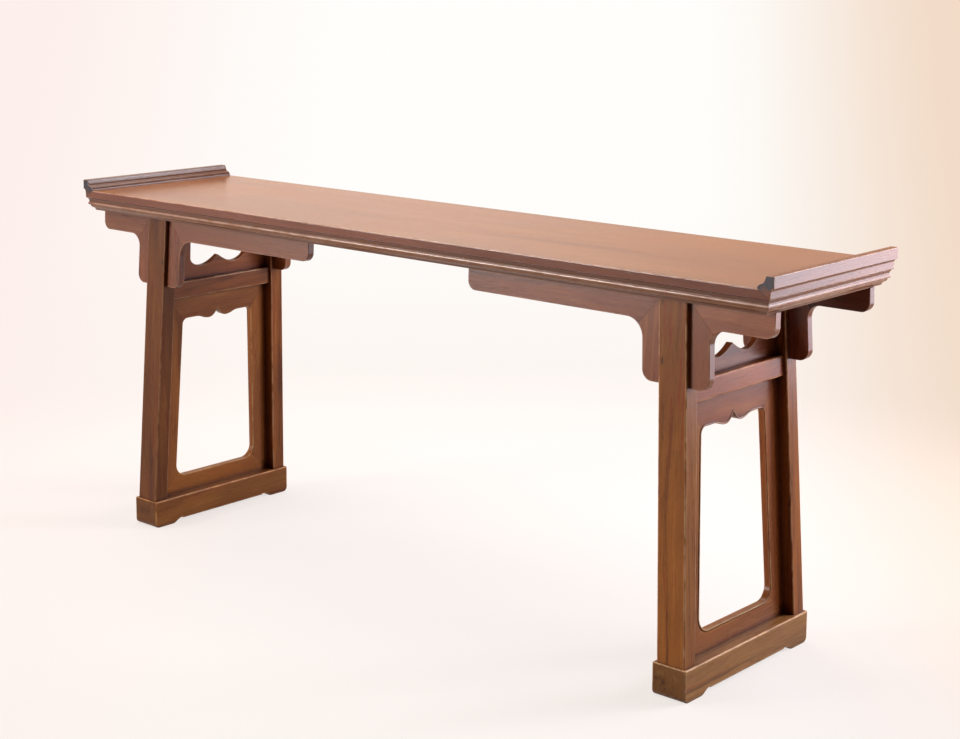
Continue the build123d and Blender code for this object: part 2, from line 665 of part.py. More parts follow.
with BuildSketch() as frame_face:
    Polygon(
        on_board(-inner_y(FOOT_HEIGHT) - TRIM, FOOT_HEIGHT - TRIM),
        on_board(inner_y(FOOT_HEIGHT) + TRIM, FOOT_HEIGHT - TRIM),
        on_board(inner_y(FOOT_HEIGHT) + TRIM, STRETCHER_FOOT),
        on_board(-inner_y(FOOT_HEIGHT) - TRIM, STRETCHER_FOOT),
        align=None,
    )
    add(opening.sketch, mode=Mode.SUBTRACT)

with BuildSketch() as bead_face:
    add(opening.sketch)
    offset(amount=FRAME_BEAD)
    add(opening.sketch, mode=Mode.SUBTRACT)

# the area of the rear stile, between the mitres at its foot and its head
stile_area = [
    beyond(opening_foot, frame_foot, 1.5),
    beyond(frame_foot, opening_foot, 1.5),
    beyond(frame_top, opening_head, 1.5),
    beyond(opening_head, frame_top, 1.5),
]

with BuildSketch() as stile_faces:
    Polygon(*stile_area, align=None)
    mirror(about=Plane.YZ)

with BuildSketch() as level_faces:
    add(frame_face.sketch)
    add(stile_faces.sketch, mode=Mode.SUBTRACT)

with BuildSketch() as level_beads:
    add(bead_face.sketch)
    add(stile_faces.sketch, mode=Mode.SUBTRACT)

# ---- Stiles ----
with BuildPart() as stile:
    with BuildSketch(board_plane):
        add(frame_face.sketch)
        Polygon(*stile_area, align=None, mode=Mode.INTERSECT)
    extrude(amount=BOARD_THICKNESS / 2, both=True)
    with BuildSketch(board_plane):
        add(bead_face.sketch)
        Polygon(*stile_area, align=None, mode=Mode.INTERSECT)
    extrude(amount=BOARD_THICKNESS / 2 + FRAME_BEAD_RISE)
    split(bisect_by=rear_leg_side, keep=Keep.BOTTOM)
    with BuildSketch(board_plane):
        Polygon(*leg_tongue(*STILE_TONGUE), align=None)
    extrude(amount=TONGUE_THICKNESS / 2, both=True)
    split(bisect_by=Plane.XY.offset(FOOT_HEIGHT), keep=Keep.TOP)
write_mirrored(stile.part, "frame_stile", mirror_rows=True, mirror_ends=True)

# ---- Cusped head boards ----
with BuildPart() as frame_head_board:
    with BuildSketch(board_plane):
        add(level_faces.faces().sort_by(Axis.Y)[-1])
    extrude(amount=BOARD_THICKNESS / 2, both=True)
    with BuildSketch(board_plane):
        add(level_beads.faces().sort_by(Axis.Y)[-1])
    extrude(amount=BOARD_THICKNESS / 2 + FRAME_BEAD_RISE)
    split(bisect_by=rear_leg_side, keep=Keep.BOTTOM)
    split(bisect_by=front_leg_side, keep=Keep.BOTTOM)
    with BuildSketch(board_plane):
        Polygon(*cross_tongue(STRETCHER_FOOT, TONGUE_DEPTH), align=None)
    extrude(amount=TONGUE_THICKNESS / 2, both=True)
write_mirrored(frame_head_board.part, "frame_head", mirror_rows=False, mirror_ends=True)

# ---- Bottom rails ----
with BuildPart() as frame_rail:
    with BuildSketch(board_plane):
        add(level_faces.faces().sort_by(Axis.Y)[0])
    extrude(amount=BOARD_THICKNESS / 2, both=True)
    with BuildSketch(board_plane):
        add(level_beads.faces().sort_by(Axis.Y)[0])
    extrude(amount=BOARD_THICKNESS / 2 + FRAME_BEAD_RISE)
    split(bisect_by=rear_leg_side, keep=Keep.BOTTOM)
    split(bisect_by=front_leg_side, keep=Keep.BOTTOM)
    split(bisect_by=Plane.XY.offset(FOOT_HEIGHT), keep=Keep.TOP)
    with BuildSketch(board_plane):
        Polygon(*cross_tongue(FOOT_HEIGHT, -TONGUE_DEPTH), align=None)
        Polygon(*cross_tongue(FOOT_HEIGHT, TRIM), align=None)
    extrude(amount=TONGUE_THICKNESS / 2, both=True)
write_mirrored(frame_rail.part, "frame_rail", mirror_rows=False, mirror_ends=True)
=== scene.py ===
"""Chinese altar table with everted ends: surfaces, woods and a small stage.

Laid out as an add-on. Run as a script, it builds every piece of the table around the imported
solids, then the floor, the lamps and the camera.
"""

import math
from typing import NamedTuple

import bpy
import numpy as np
from mathutils import Matrix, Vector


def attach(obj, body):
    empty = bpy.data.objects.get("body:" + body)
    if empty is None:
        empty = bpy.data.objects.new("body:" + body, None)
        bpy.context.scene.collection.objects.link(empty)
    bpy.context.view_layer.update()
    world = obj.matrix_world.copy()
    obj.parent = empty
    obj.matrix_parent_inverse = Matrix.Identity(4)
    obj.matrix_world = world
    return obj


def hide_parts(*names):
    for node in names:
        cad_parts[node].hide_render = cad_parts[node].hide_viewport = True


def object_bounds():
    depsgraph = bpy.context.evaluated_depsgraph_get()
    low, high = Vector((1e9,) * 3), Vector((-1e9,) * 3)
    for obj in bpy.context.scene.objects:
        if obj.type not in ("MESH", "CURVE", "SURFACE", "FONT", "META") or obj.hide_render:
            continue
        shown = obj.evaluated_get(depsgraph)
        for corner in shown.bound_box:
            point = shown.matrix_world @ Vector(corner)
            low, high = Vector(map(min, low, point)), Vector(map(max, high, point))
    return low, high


bl_info = {
    "name": "Chinese altar table",
    "version": (1, 0, 0),
    "blender": (4, 5, 0),
    "location": "3D View > Sidebar > Altar table",
    "description": "Builds an altar table with everted ends, slotted apron brackets and shoe feet",
    "category": "Add Mesh",
}

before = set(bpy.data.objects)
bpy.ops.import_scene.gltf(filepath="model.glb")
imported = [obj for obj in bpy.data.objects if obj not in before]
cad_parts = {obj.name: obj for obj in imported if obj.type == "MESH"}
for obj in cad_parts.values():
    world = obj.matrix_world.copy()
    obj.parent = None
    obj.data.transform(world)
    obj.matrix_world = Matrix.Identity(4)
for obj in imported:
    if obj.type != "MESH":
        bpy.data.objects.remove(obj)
cad_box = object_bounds()


# ---- Sizes and colours that a user would change ----


def length(name, millimetres, description):
    """A size in metres, written in millimetres."""
    return bpy.props.FloatProperty(
        name=name,
        description=description,
        default=millimetres / 1000,
        min=0.0,
        precision=4,
        unit="LENGTH",
    )


def lean(name, degrees, description):
    """An angle, written in degrees."""
    return bpy.props.FloatProperty(
        name=name, description=description, default=math.radians(degrees), subtype="ANGLE"
    )


def colour(name, shade, description):
    """A linear colour."""
    return bpy.props.FloatVectorProperty(
        name=name,
        description=description,
        default=shade,
        size=3,
        min=0.0,
        max=1.0,
        subtype="COLOR",
    )


def amount(name, value, description, top=1.0):
    """A plain number from nought to a limit."""
    return bpy.props.FloatProperty(
        name=name, description=description, default=value, min=0.0, max=top
    )


class TopSizes(bpy.types.PropertyGroup):
    """The plank, its moulded edge and the end clamps with their flanges."""

    length: length("Length", (cad_box[1].x - cad_box[0].x) * 1000, "Over the two flanges")
    depth: length("Depth", (cad_box[1].y - cad_box[0].y) * 1000, "Front to back")
    surface: length("Surface height", 820, "Floor to playing surface")
    edge: length("Edge height", 49.5, "Surface to underside")
    surface_arris: length("Surface arris", 2.5, "Rounding along the front and back")
    band: length("Band", 18, "Height of the plain upper band")
    batter: length("Band batter", 0.8, "How far the band leans in at its foot")
    quirk: length("Quirk", 1.5, "Height of the step under the band")
    cove_inset: length("Cove inset", 3.2, "Where the cove starts, from the edge's face")
    cove: length("Cove", 8.5, "Height of the cove")
    cove_sag: length("Cove depth", 1.1, "Hollow of the cove")
    bead_inset: length("Bead inset", 6.5, "From the edge's face")
    bead_fillet: length("Bead fillet", 0.6, "Flat on each side of the bead")
    bead: length("Bead", 7.4, "Height of the bead")
    bead_sag: length("Bead swell", 2.0, "How far the bead stands out")
    ogee_inset: length("Ogee inset", 8.8, "Where the ogee starts, from the edge's face")
    ogee_middle: length("Ogee middle", 13.0, "Inset where the ogee turns from round to hollow")
    ogee_sag: length("Ogee swell", 1.1, "Swell and hollow of the ogee")
    underside_inset: length("Underside inset", 17.5, "From the edge's face to the underside")
    flange_rise: length("Flange rise", 25.5, "Above the playing surface")
    flange_crown: length("Flange crown", 17.5, "Thickness at the top")
    flange_waist: length("Flange waist", 20, "Thickness above the inner cove")
    flange_spread: length("Flange spread", 28.5, "Thickness above the inner bead")
    flange_foot: length("Flange foot", 36, "Thickness at the playing surface")
    flange_arris: length("Flange arris", 2.2, "Rounding along the crown")
    waist_rise: length("Waist rise", 17.5, "Above the surface")
    spread_rise: length("Spread rise", 9.9, "Above the surface")
    flange_cove_sag: length("Flange cove", 1.9, "Hollow of the inner cove")
    flange_bead_sag: length("Flange bead", 1.9, "Swell of the inner bead")
    setback: length("End setback", 7.5, "Lower end moulding behind the flange's face")
    end_cove_drop: length("End cove drop", 4, "Foot of the cove under the flange")
    end_cove_rise: length("End cove rise", 3, "Head of the cove under the flange")
    end_cove_sag: length("End cove depth", 2.2, "Hollow of that cove")


class BracketSizes(bpy.types.PropertyGroup):
    """Legs, and the aprons and spandrels that they clasp."""

    leg_width: length("Leg width", 64.5, "Along the table")
    leg_depth: length("Leg depth", 37, "Front to back")
    leg_arris: length("Leg arris", 2.5, "Rounding of the leg's edges")
    leg_x: length("Leg from middle", 790.5, "Leg centre at its foot, along the table")
    leg_y: length("Leg from centre line", 194.6, "Leg centre at its foot, front to back")
    end_splay: lean("End splay", 2.48, "Lean along the length")
    face_splay: lean("Face splay", 2.155, "Lean front to back")
    apron: length("Apron thickness", 18, "Aprons and spandrels")
    arm: length("Arm height", 50, "Height of the apron arms")
    inner_reach: length("Inner reach", 488, "Leg to the end of the inner arm")
    outer_reach: length("Outer reach", 187, "Leg to the end of the outer arm")
    arm_corner: length("Arm corner", 32, "Rounding at the ends of the arms")
    spandrel_width: length("Spandrel width", 45, "Beside the leg")
    spandrel_height: length("Spandrel height", 167.5, "Below the top")
    spandrel_corner: length("Spandrel corner", 22, "Rounding at the spandrel's foot")
    inner_knee: length("Inner knee", 39, "Rounding between spandrel and inner arm")
    outer_knee: length("Outer knee", 29, "Rounding between spandrel and outer arm")
    arris: length("Apron arris", 1.3, "Eased edges of the boards")


class EndSizes(bpy.types.PropertyGroup):
    """Shoe feet, stretchers, scalloped boards and the cusped frames."""

    foot_length: length("Foot length", 436, "Front to back")
    foot_width: length("Foot width", 78, "Along the table")
    foot_height: length("Foot height", 66.5, "Floor to its top")
    foot_arris: length("Foot arris", 2.5, "Rounding of its edges")
    foot_end: length("Foot end", 12, "Rounding under its ends")
    pad: length("Pad", 52, "Length of each pad")
    arch_run: length("Arch run", 33, "Length of the curve from pad to arch")
    arch_rise: length("Arch rise", 10.5, "Height at the head of that curve")
    arch_cusp: length("Arch cusp", 2, "Drop from the curve to the arch")
    cusp_run: length("Cusp run", 3, "Length of the drop")
    stretcher_drop: length("Stretcher drop", 211.5, "Playing surface to stretcher")
    stretcher_height: length("Stretcher height", 42, "Of the side stretchers")
    stretcher_width: length("Stretcher width", 48, "Along the table")
    stretcher_arris: length("Stretcher arris", 3, "Rounding of its edges")
    board: length("Board thickness", 15, "Scalloped boards and frames")
    board_arris: length("Board arris", 1.0, "Eased edges of the boards")
    peak: length("Scallop peak", 49.7, "Above the stretcher")
    trough: length("Scallop trough", 28.9, "Above the stretcher")
    trough_y: length("Trough place", 51, "From the middle")
    cheek_y: length("Cheek place", 88.5, "From the middle")
    cheek_rise: length("Cheek rise", 21, "Trough to where the cheek stands upright")
    peak_fall: length("Peak fall", 12, "Steepness beside the peak")
    opening_foot: length("Opening at foot", 128.2, "Half width")
    opening_head: length("Opening at head", 110.3, "Half width")
    opening_corner: length("Opening corner", 30, "Rounding of its corners")
    rail: length("Rail height", 41.5, "Bottom rail of the frame")
    head: length("Head height", 56.8, "Stretcher to the shoulders of the opening")
    shoulder_y: length("Shoulder place", 68.5, "From the middle")
    lobe_y: length("Lobe place", 27.5, "From the middle")
    lobe_drop: length("Lobe drop", 8.5, "Below the shoulders")
    lobe_rise: length("Lobe rise", 5.5, "Round side of the lobe, up to the notch")
    lobe_share: amount("Lobe share", 0.43, "Where that side ends, from the middle to the lobe")
    notch: length("Notch rise", 11.5, "Above the shoulders")
    frame_bead: length("Frame bead", 3.5, "Width of the bead round the opening")
    frame_bead_rise: length("Frame bead rise", 1.2, "How far that bead stands out")


class Wood(NamedTuple):
    """How the wood of one place looks. Its three colours are the defaults of the settings."""

    label: str
    place: str
    dark: tuple
    body: tuple
    light: tuple
    wander: float  # how far the grain wanders sideways, in metres
    bands: float  # growth bands across a metre
    streaks: float  # weight of the red streaks
    ink: float  # weight of the nearly black lines
    knots: float  # weight of the knots
    clouds: float  # weight of the darker clouds
    shine: float  # specular level
    matt: float  # how much rougher the wax is than the roughness that all share


WOODS = {
    # the plank's colours are lighter than the other woods' of this one-wood table: painted light on the
    # top, tinted darker again on its edge
    "tabletop_wood": Wood(
        "Top", "plank", (0.195, 0.052, 0.013), (0.312, 0.098, 0.022), (0.375, 0.130, 0.035),
        wander=0.080, bands=22, streaks=0.10, ink=0.15, knots=0.0, clouds=0.30,
        shine=0.46, matt=-0.10,
    ),
    "flange_wood": Wood(
        "Clamps", "clamps", (0.140, 0.040, 0.014), (0.255, 0.075, 0.024), (0.330, 0.115, 0.045),
        wander=0.032, bands=60, streaks=0.20, ink=0.25, knots=0.0, clouds=0.35,
        shine=0.28, matt=-0.02,
    ),
    "leg_wood": Wood(
        "Legs", "legs", (0.085, 0.022, 0.005), (0.225, 0.068, 0.013), (0.330, 0.120, 0.028),
        wander=0.032, bands=60, streaks=0.60, ink=0.30, knots=0.7, clouds=0.50,
        shine=0.13, matt=0.0,
    ),
    "apron_wood": Wood(
        "Aprons", "aprons", (0.080, 0.018, 0.006), (0.200, 0.052, 0.015), (0.300, 0.095, 0.030),
        wander=0.048, bands=50, streaks=0.30, ink=0.30, knots=0.2, clouds=0.45,
        shine=0.24, matt=0.0,
    ),
    "frame_wood": Wood(
        "Frames", "frames", (0.085, 0.018, 0.006), (0.225, 0.060, 0.016), (0.320, 0.108, 0.030),
        wander=0.048, bands=45, streaks=0.35, ink=0.30, knots=0.2, clouds=0.45,
        shine=0.14, matt=0.0,
    ),
    "foot_wood": Wood(
        "Feet", "feet", (0.080, 0.027, 0.009), (0.195, 0.074, 0.023), (0.290, 0.130, 0.045),
        wander=0.040, bands=45, streaks=0.25, ink=0.25, knots=0.2, clouds=0.50,
        shine=0.11, matt=0.0,
    ),
}
TONES = {"dark": "Dark lines", "body": "Body", "light": "Light bands"}


class WoodColours(bpy.types.PropertyGroup):
    """What all woods share. The dark, body and light colour of each wood are added below."""

    streak: colour("Streak", (0.160, 0.014, 0.005), "Red streaks in the wood")
    ink: colour("Ink lines", (0.022, 0.007, 0.005), "Nearly black lines, pores and knots")
    # dark end grain, with a blue-grey cast that is a painted reflection on the flanges' ends
    grain_end: colour("End grain", (0.050, 0.044, 0.058), "Dark end grain of the flanges")
    # painted shade: the dark colour that corners and gaps take on where faces lie near each other
    corner_shade: colour("Grime", (0.030, 0.004, 0.003), "Dark wax in the corners")
    # wear on the arrises; on the crest of the frames' bead it is also a painted highlight
    worn: colour("Worn arris", (0.520, 0.270, 0.150), "Where hands have rubbed the arrises")
    gloss: amount("Roughness", 0.29, "Of the waxed surface")
    shine: amount("Shine", 1.0, "Share of each wood's own specular level", 2.0)
    wax: amount("Wax", 0.08, "Weight of the wax coat")


WoodColours.__annotations__ = {
    f"{slot}_{tone}": colour(
        f"{kind.label}, {tone}", getattr(kind, tone), f"{what} of the {kind.place}"
    )
    for slot, kind in WOODS.items()
    for tone, what in TONES.items()
} | WoodColours.__annotations__


class StageSettings(bpy.types.PropertyGroup):
    """Floor, lamps and camera."""

    floor: colour("Floor", (0.980, 0.925, 0.890), "Colour of the floor")
    peach: colour("Peach", (0.885, 0.706, 0.570), "Colour of the floor to the right")
    rose: colour("Rose", (0.985, 0.868, 0.832), "Colour of the floor to the left")
    shadow: amount("Shadow", 0.25, "How much of the floor's colour is shaded")
    bounce: colour("Bounce", (0.340, 0.300, 0.270), "What the floor gives back to the table")
    backdrop: colour("Backdrop", (1.000, 0.840, 0.740), "Colour behind the table")
    fill: amount("Fill", 0.08, "Light from all round", 4.0)
    overhead: amount("Overhead lamp", 100.0, "Power of the lamp above", 2000.0)
    key: amount("Key lamp", 420.0, "Power of the lamp at the left front", 2000.0)
    side: amount("Side lamp", 82.0, "Power of the lamp at the right back", 2000.0)
    rim: amount("Rim lamp", 55.0, "Power of the small lamp high at the right back", 2000.0)
    lens: bpy.props.FloatProperty(
        name="Lens", description="Focal length in millimetres", default=68.11, min=10.0
    )


# ---- Plane geometry ----

LEVEL = (1, 0)
FLIP = np.array((-1, 1))  # takes a place in a plane to the other side of the middle line
CORNER_ROOM = 0.48  # share of the shorter side that a rounded corner may take up
BEND_SHARE = 0.7  # share of that room for the bend itself
SANDED = 0.0006  # rounding of an edge that was only sanded
SHARP = math.radians(17)  # a point that turns by more is a corner
ON_LINE = 2e-5  # a point this near to a joint line lies on it
SAME_PLACE = 1e-6  # points this near to each other are one
INSET_STEP = 0.0001
ONE_CORNER = 0.00014  # points this near to each other move in as one corner
STRAIGHT = 0.9998  # cosine of the turn from which two sides run on in one line
RUB_LENGTH = 0.003  # an edge is fully rubbed where it turns by a radian in this length


def arc(start, end, sagitta, count=10):
    """Points on the circular arc from start to end, both included.

    With chord c, the radius is r = (c^2/4 + s^2) / 2|s|. A point at angle t has r sin t along
    the chord from its middle and r cos t - (r - |s|) across it, to the left for a sagitta above
    nought and to the right below it.
    """
    start, end = np.asarray(start, float), np.asarray(end, float)
    chord = end - start
    size = np.hypot(*chord)
    along = chord / size
    left = np.array([-along[1], along[0]])
    radius = (size**2 / 4 + sagitta**2) / (2 * abs(sagitta))
    half = 2 * math.atan2(2 * abs(sagitta), size)
    turn = np.linspace(-half, half, count)
    rise = (radius * np.cos(turn) - (radius - abs(sagitta))) * np.sign(sagitta)
    middle = (start + end) / 2
    return middle + np.outer(radius * np.sin(turn), along) + np.outer(rise, left)


def bezier(a, b, c, d, count=20):
    """Points a(1-t)^3 + 3b t(1-t)^2 + 3c t^2(1-t) + d t^3 for t from 0 to 1."""
    a, b, c, d = (np.asarray(point, float) for point in (a, b, c, d))
    t = np.linspace(0, 1, count)[:, None]
    return a * (1 - t) ** 3 + 3 * b * t * (1 - t) ** 2 + 3 * c * t**2 * (1 - t) + d * t**3


def tangent_arc(start, end, tangent, count=14):
    """Points on the circular arc that leaves start along a tangent and ends at end.

    The angle between the tangent and the chord is half the arc's turn, so the sagitta is
    c/2 tan(angle/2), on the side of the chord that the tangent points to.
    """
    chord = np.subtract(end, start)
    cross = chord[0] * tangent[1] - chord[1] * tangent[0]
    angle = math.atan2(cross, chord[0] * tangent[0] + chord[1] * tangent[1])
    return arc(start, end, np.hypot(*chord) / 2 * math.tan(angle / 2), count)


def arrival(start, end, tangent):
    """The direction in which the arc that leaves start along a tangent arrives at end.

    It is the tangent t mirrored about the chord c: 2 c (c.t) / (c.c) - t.
    """
    chord = end - start
    return 2 * chord * (chord @ tangent) / (chord @ chord) - tangent


def corner(before, point, after, radius, count, rest):
    """The rounded corner between two straight lines, with a point at rest beyond each end.

    The cut-off is r tan(turn/2) and the arc's sagitta is r (1 - cos(turn/2)).
    """
    into, out = point - before, after - point
    room = CORNER_ROOM * min(np.hypot(*into), np.hypot(*out))
    into, out = into / np.hypot(*into), out / np.hypot(*out)
    turn = math.atan2(into[0] * out[1] - into[1] * out[0], into @ out)
    cut_off = min(radius * math.tan(abs(turn) / 2), room * BEND_SHARE)
    radius = cut_off / math.tan(abs(turn) / 2)
    sagitta = -math.copysign(radius * (1 - math.cos(turn / 2)), turn)
    bend = arc(point - into * cut_off, point + out * cut_off, sagitta, count)
    rest = min(rest, room - cut_off)
    return np.vstack([bend[:1] - into * rest, bend, bend[-1:] + out * rest])


def with_corners(points, radii, count, rest):
    """A closed outline with each corner rounded by its radius; nought keeps a corner."""
    runs, done = [], 0
    for index in np.flatnonzero(radii):
        after = points[(index + 1) % len(points)]
        bend = corner(points[index - 1], points[index], after, radii[index], count, rest)
        runs += [points[done:index], bend]
        done = index + 1
    return np.vstack([*runs, points[done:]])


def rounded(points, radii, count=16):
    """A closed outline of straight lines with its corners rounded by their radii."""
    return with_corners(np.asarray(points, float), radii, count, 0.001)


def rectangle(low, high, radius, count):
    """The rectangle between two opposite corners, with all four rounded."""
    (left, foot), (right, head) = low, high
    corners = [(left, foot), (right, foot), (right, head), (left, head)]
    return rounded(corners, [radius] * 4, count)


def mirrored(half):
    """A closed outline from its half beside the middle line; a point on that line stays single."""
    other = half[half[:, 0] > SAME_PLACE]
    return np.vstack([half, other[::-1] * FLIP])


def turns(outline):
    """The turn in radians at each point of a closed outline, above nought to the left."""
    into = outline - np.roll(outline, 1, axis=0)
    out = np.roll(outline, -1, axis=0) - outline
    cross = into[:, 0] * out[:, 1] - into[:, 1] * out[:, 0]
    return np.arctan2(cross, (into * out).sum(axis=1))


def left_of(points, line):
    """How far points lie to the left of a line (start, direction), in lengths of the direction.

    It is the cross product of the direction with the way from the start to the point.
    """
    start, direction = line
    offset = points - np.asarray(start, float)
    return direction[0] * offset[:, 1] - direction[1] * offset[:, 0]


def in_joint(outline, joints):
    """Which edges of a closed outline lie on one of the joint lines (start, direction)."""
    found = np.zeros(len(outline), bool)
    for start, direction in joints:
        unit = np.asarray(direction, float) / np.hypot(*direction)
        off = np.abs(left_of(outline, (start, unit)))
        found |= (off < ON_LINE) & (np.roll(off, -1) < ON_LINE)
    return found


def soften(outline, radius=SANDED, rest=0.002, joints=()):
    """Rounds each sharp point of a closed outline by a small radius, but none at a joint."""
    step = np.hypot(*(outline - np.roll(outline, 1, axis=0)).T)
    outline = outline[step > SAME_PLACE]
    tight = in_joint(outline, joints)
    sharp = (np.abs(turns(outline)) > SHARP) & ~tight & ~np.roll(tight, 1)
    return with_corners(outline, np.where(sharp, radius, 0.0), 5, rest)


def cut(loop, *lines):
    """The run of a closed loop that lies to the left of every line, with its ends on the lines.

    Where the distance changes its sign between neighbours, the crossing divides them in the
    ratio of their distances.
    """
    distances = [left_of(loop, line) for line in lines]
    inside = np.all(np.array(distances) >= 0, axis=0)
    if inside.all():
        return loop
    first = np.flatnonzero(inside & ~np.roll(inside, 1))[0]
    loop, inside, *distances = (
        np.roll(array, -first, axis=0) for array in (loop, inside, *distances)
    )
    last = np.flatnonzero(~inside)[0] - 1

    def crossing(a, b):
        """Where the side from a, inside, to b, outside, first meets a line."""
        share = min(d[a] / (d[a] - d[b]) for d in distances if d[a] >= 0 > d[b])
        return loop[a] + (loop[b] - loop[a]) * share

    return np.vstack([crossing(0, -1)[None], loop[: last + 1], crossing(last, last + 1)[None]])


def insets(outline, distances, speed):
    """A closed left-hand outline moved in by each of several rising distances.

    It goes in small steps. Each side moves in along its normal at its own speed, and a corner
    stays where its two sides meet: with unit normals m and n, speeds a and b and c = m.n, it
    moves by (a (m - c n) + b (n - c m)) / (1 - c^2). Neighbours closer than a limit move as
    one corner.
    """
    rings, done, count = [], 0.0, len(outline)
    for distance in distances:
        steps = max(1, math.ceil((distance - done) / INSET_STEP))
        for _ in range(steps if distance > done else 0):
            edge = np.roll(outline, -1, axis=0) - outline
            size = np.hypot(*edge.T)
            apart = size > ONE_CORNER
            normal = np.stack([-edge[:, 1], edge[:, 0]], axis=1) / np.maximum(size, 1e-9)[:, None]
            first = np.flatnonzero(np.roll(apart, 1))
            group = (np.cumsum(np.roll(apart, 1)) - 1) % len(first)
            last = (np.roll(first, -1) - 1) % count
            m, n = normal[first - 1], normal[last]
            a, b = speed[first - 1][:, None], speed[last][:, None]
            c = (m * n).sum(axis=1)[:, None]
            bent = (a * (m - c * n) + b * (n - c * m)) / np.maximum(1 - c * c, 1e-4)
            straight = (m + n) * (a + b) / 2 / np.maximum(1 + c, 0.1)
            move = np.where(c > STRAIGHT, straight, bent)
            outline = outline + move[group] * (distance - done) / steps
        done = distance
        rings.append(outline)
    return np.array(rings)


def bends(outline):
    """How hard an outline bends at each point: its turn per rub length, from -1 to 1."""
    step = np.hypot(*(np.roll(outline, -1, axis=0) - outline).T)
    span = (step + np.roll(step, 1)) / 2
    return np.clip(turns(outline) / np.maximum(span, SAME_PLACE) * RUB_LENGTH, -1, 1)


def rubbed(outline):
    """How much hands have rubbed each point of an outline: its outward bend, from 0 to 1."""
    return np.maximum(bends(outline), 0)


def hollow_shade(outline, share=0.75):
    """Painted shade at each point: darker by a share in the hollows of the outline."""
    return np.repeat(1 + share * np.minimum(bends(outline), 0)[:, None], 3, axis=1)


# ---- Surfaces ----


class Surface:
    """Points, faces, wear and painted sheen of each point, which faces are smooth, end grain and painted
    shade.
    """

    def __init__(self, points, faces, worn, smooth, end_grain=None, shade=None):
        self.points, self.faces, self.worn, self.smooth = points, faces, worn, smooth
        self.end_grain = np.zeros(len(points)) if end_grain is None else end_grain
        self.shade = np.ones((len(points), 3)) if shade is None else shade


def joined(*surfaces):
    """Several closed surfaces as one."""
    faces, start = [], 0
    for surface in surfaces:
        faces += [[index + start for index in face] for face in surface.faces]
        start += len(surface.points)
    return Surface(
        np.vstack([surface.points for surface in surfaces]),
        faces,
        np.concatenate([surface.worn for surface in surfaces]),
        sum((surface.smooth for surface in surfaces), []),
        np.concatenate([surface.end_grain for surface in surfaces]),
        np.vstack([surface.shade for surface in surfaces]),
    )


def strips(rings, count):
    """Quads between each ring of count points and the next, on a closed loop."""
    index = np.arange(count)
    after = (index + 1) % count
    ring = np.arange(rings - 1)[:, None] * count
    quads = np.stack([index + ring, index + ring + count, after + ring + count, after + ring], 2)
    return quads.reshape(-1, 4).tolist()


def tube(rings, count):
    """The strips between rings, with a cap on the first ring and one on the last."""
    caps = [list(range(count)), list(range((rings - 1) * count, rings * count))[::-1]]
    return strips(rings, count) + caps


def stacked(flat, heights):
    """Rings of places (u, v) and their heights w, as one list of points."""
    w = np.broadcast_to(heights, flat.shape[:2])
    return np.concatenate([flat, w[..., None]], axis=2).reshape(-1, 3)


JOINT_SPEED = 0.125  # how fast an outline moves in along a joint, which leaves a hairline

# on the seven rings from a board's face to the middle of its edge
RUBBED_RINGS = (0.0, 0.45, 0.9, 1.0, 0.9, 0.45, 0.0)  # how much the eased edge is rubbed
BENT_RINGS = (0.0, 0.0, 0.0, 0.0, 0.0, 1.0, 1.0)  # where the outline's own bends are rubbed
FACE_RINGS = (1.0, 0.9, 0.4, 0.0, 0.0, 0.0, 0.0)  # where end grain shows on the face


def board(outline, low, high, arris, joints=(), fade=0.0025, end_grain=0.0):
    """A board with eased edges: (u, v) on its face and w through it, from low to high.

    Each ring is the outline moved in by i at depth w. On the quarter-round of radius a, at
    angle t, i = a (1 - sin t) and w is a (1 - cos t) from the face. Along a joint it moves in
    by an eighth as much.
    """
    turn = np.linspace(0, math.pi / 2, 5)
    depth = arris * (1 - np.cos(turn))
    away = [*(arris * (1 - np.sin(turn)))[::-1], arris + fade]
    tight = in_joint(outline, joints)
    rings = insets(outline, away, np.where(tight, JOINT_SPEED, 1.0))[::-1]
    flat = np.concatenate([rings, outline[None], outline[None], rings[::-1]])
    edge = [high - arris - fade, low + arris + fade]
    heights = np.array([high, *(high - depth), *edge, *(low + depth[::-1]), low])
    rub, bent, face = (
        np.array([*half, *half[::-1]]) for half in (RUBBED_RINGS, BENT_RINGS, FACE_RINGS)
    )
    free = ~tight & ~np.roll(tight, 1)
    worn = np.maximum(rub[:, None], bent[:, None] * rubbed(outline)[None]) * free[None]
    curved = np.ones(len(heights) - 1, bool)
    curved[[0, -1]] = False
    smooth = (curved[:, None] & ~tight[None]).ravel().tolist() + [False, False]
    return Surface(
        stacked(flat, heights[:, None]),
        tube(len(heights), len(outline)),
        worn.ravel(),
        smooth,
        np.repeat(face * end_grain, len(outline)),
    )


def bar(section, start, finish, wide=0.006):
    """A closed section (p, q) carried along a third axis r, from start(p, q) to finish(p, q).

    Faces on segments of the section wider than a limit are flat, the others smooth.
    """
    count = len(section)
    ends = [np.broadcast_to(end(*section.T), count) for end in (finish, start)]
    points = np.vstack([np.column_stack([section, end]) for end in ends])
    step = np.hypot(*(np.roll(section, -1, axis=0) - section).T)
    smooth = (step < wide).tolist() + [False, False]
    # wear on the section's outward bends, painted shade in its hollows
    worn, shade = np.tile(rubbed(section), 2), np.tile(hollow_shade(section), (2, 1))
    return Surface(points, tube(2, count), worn, smooth, shade=shade)


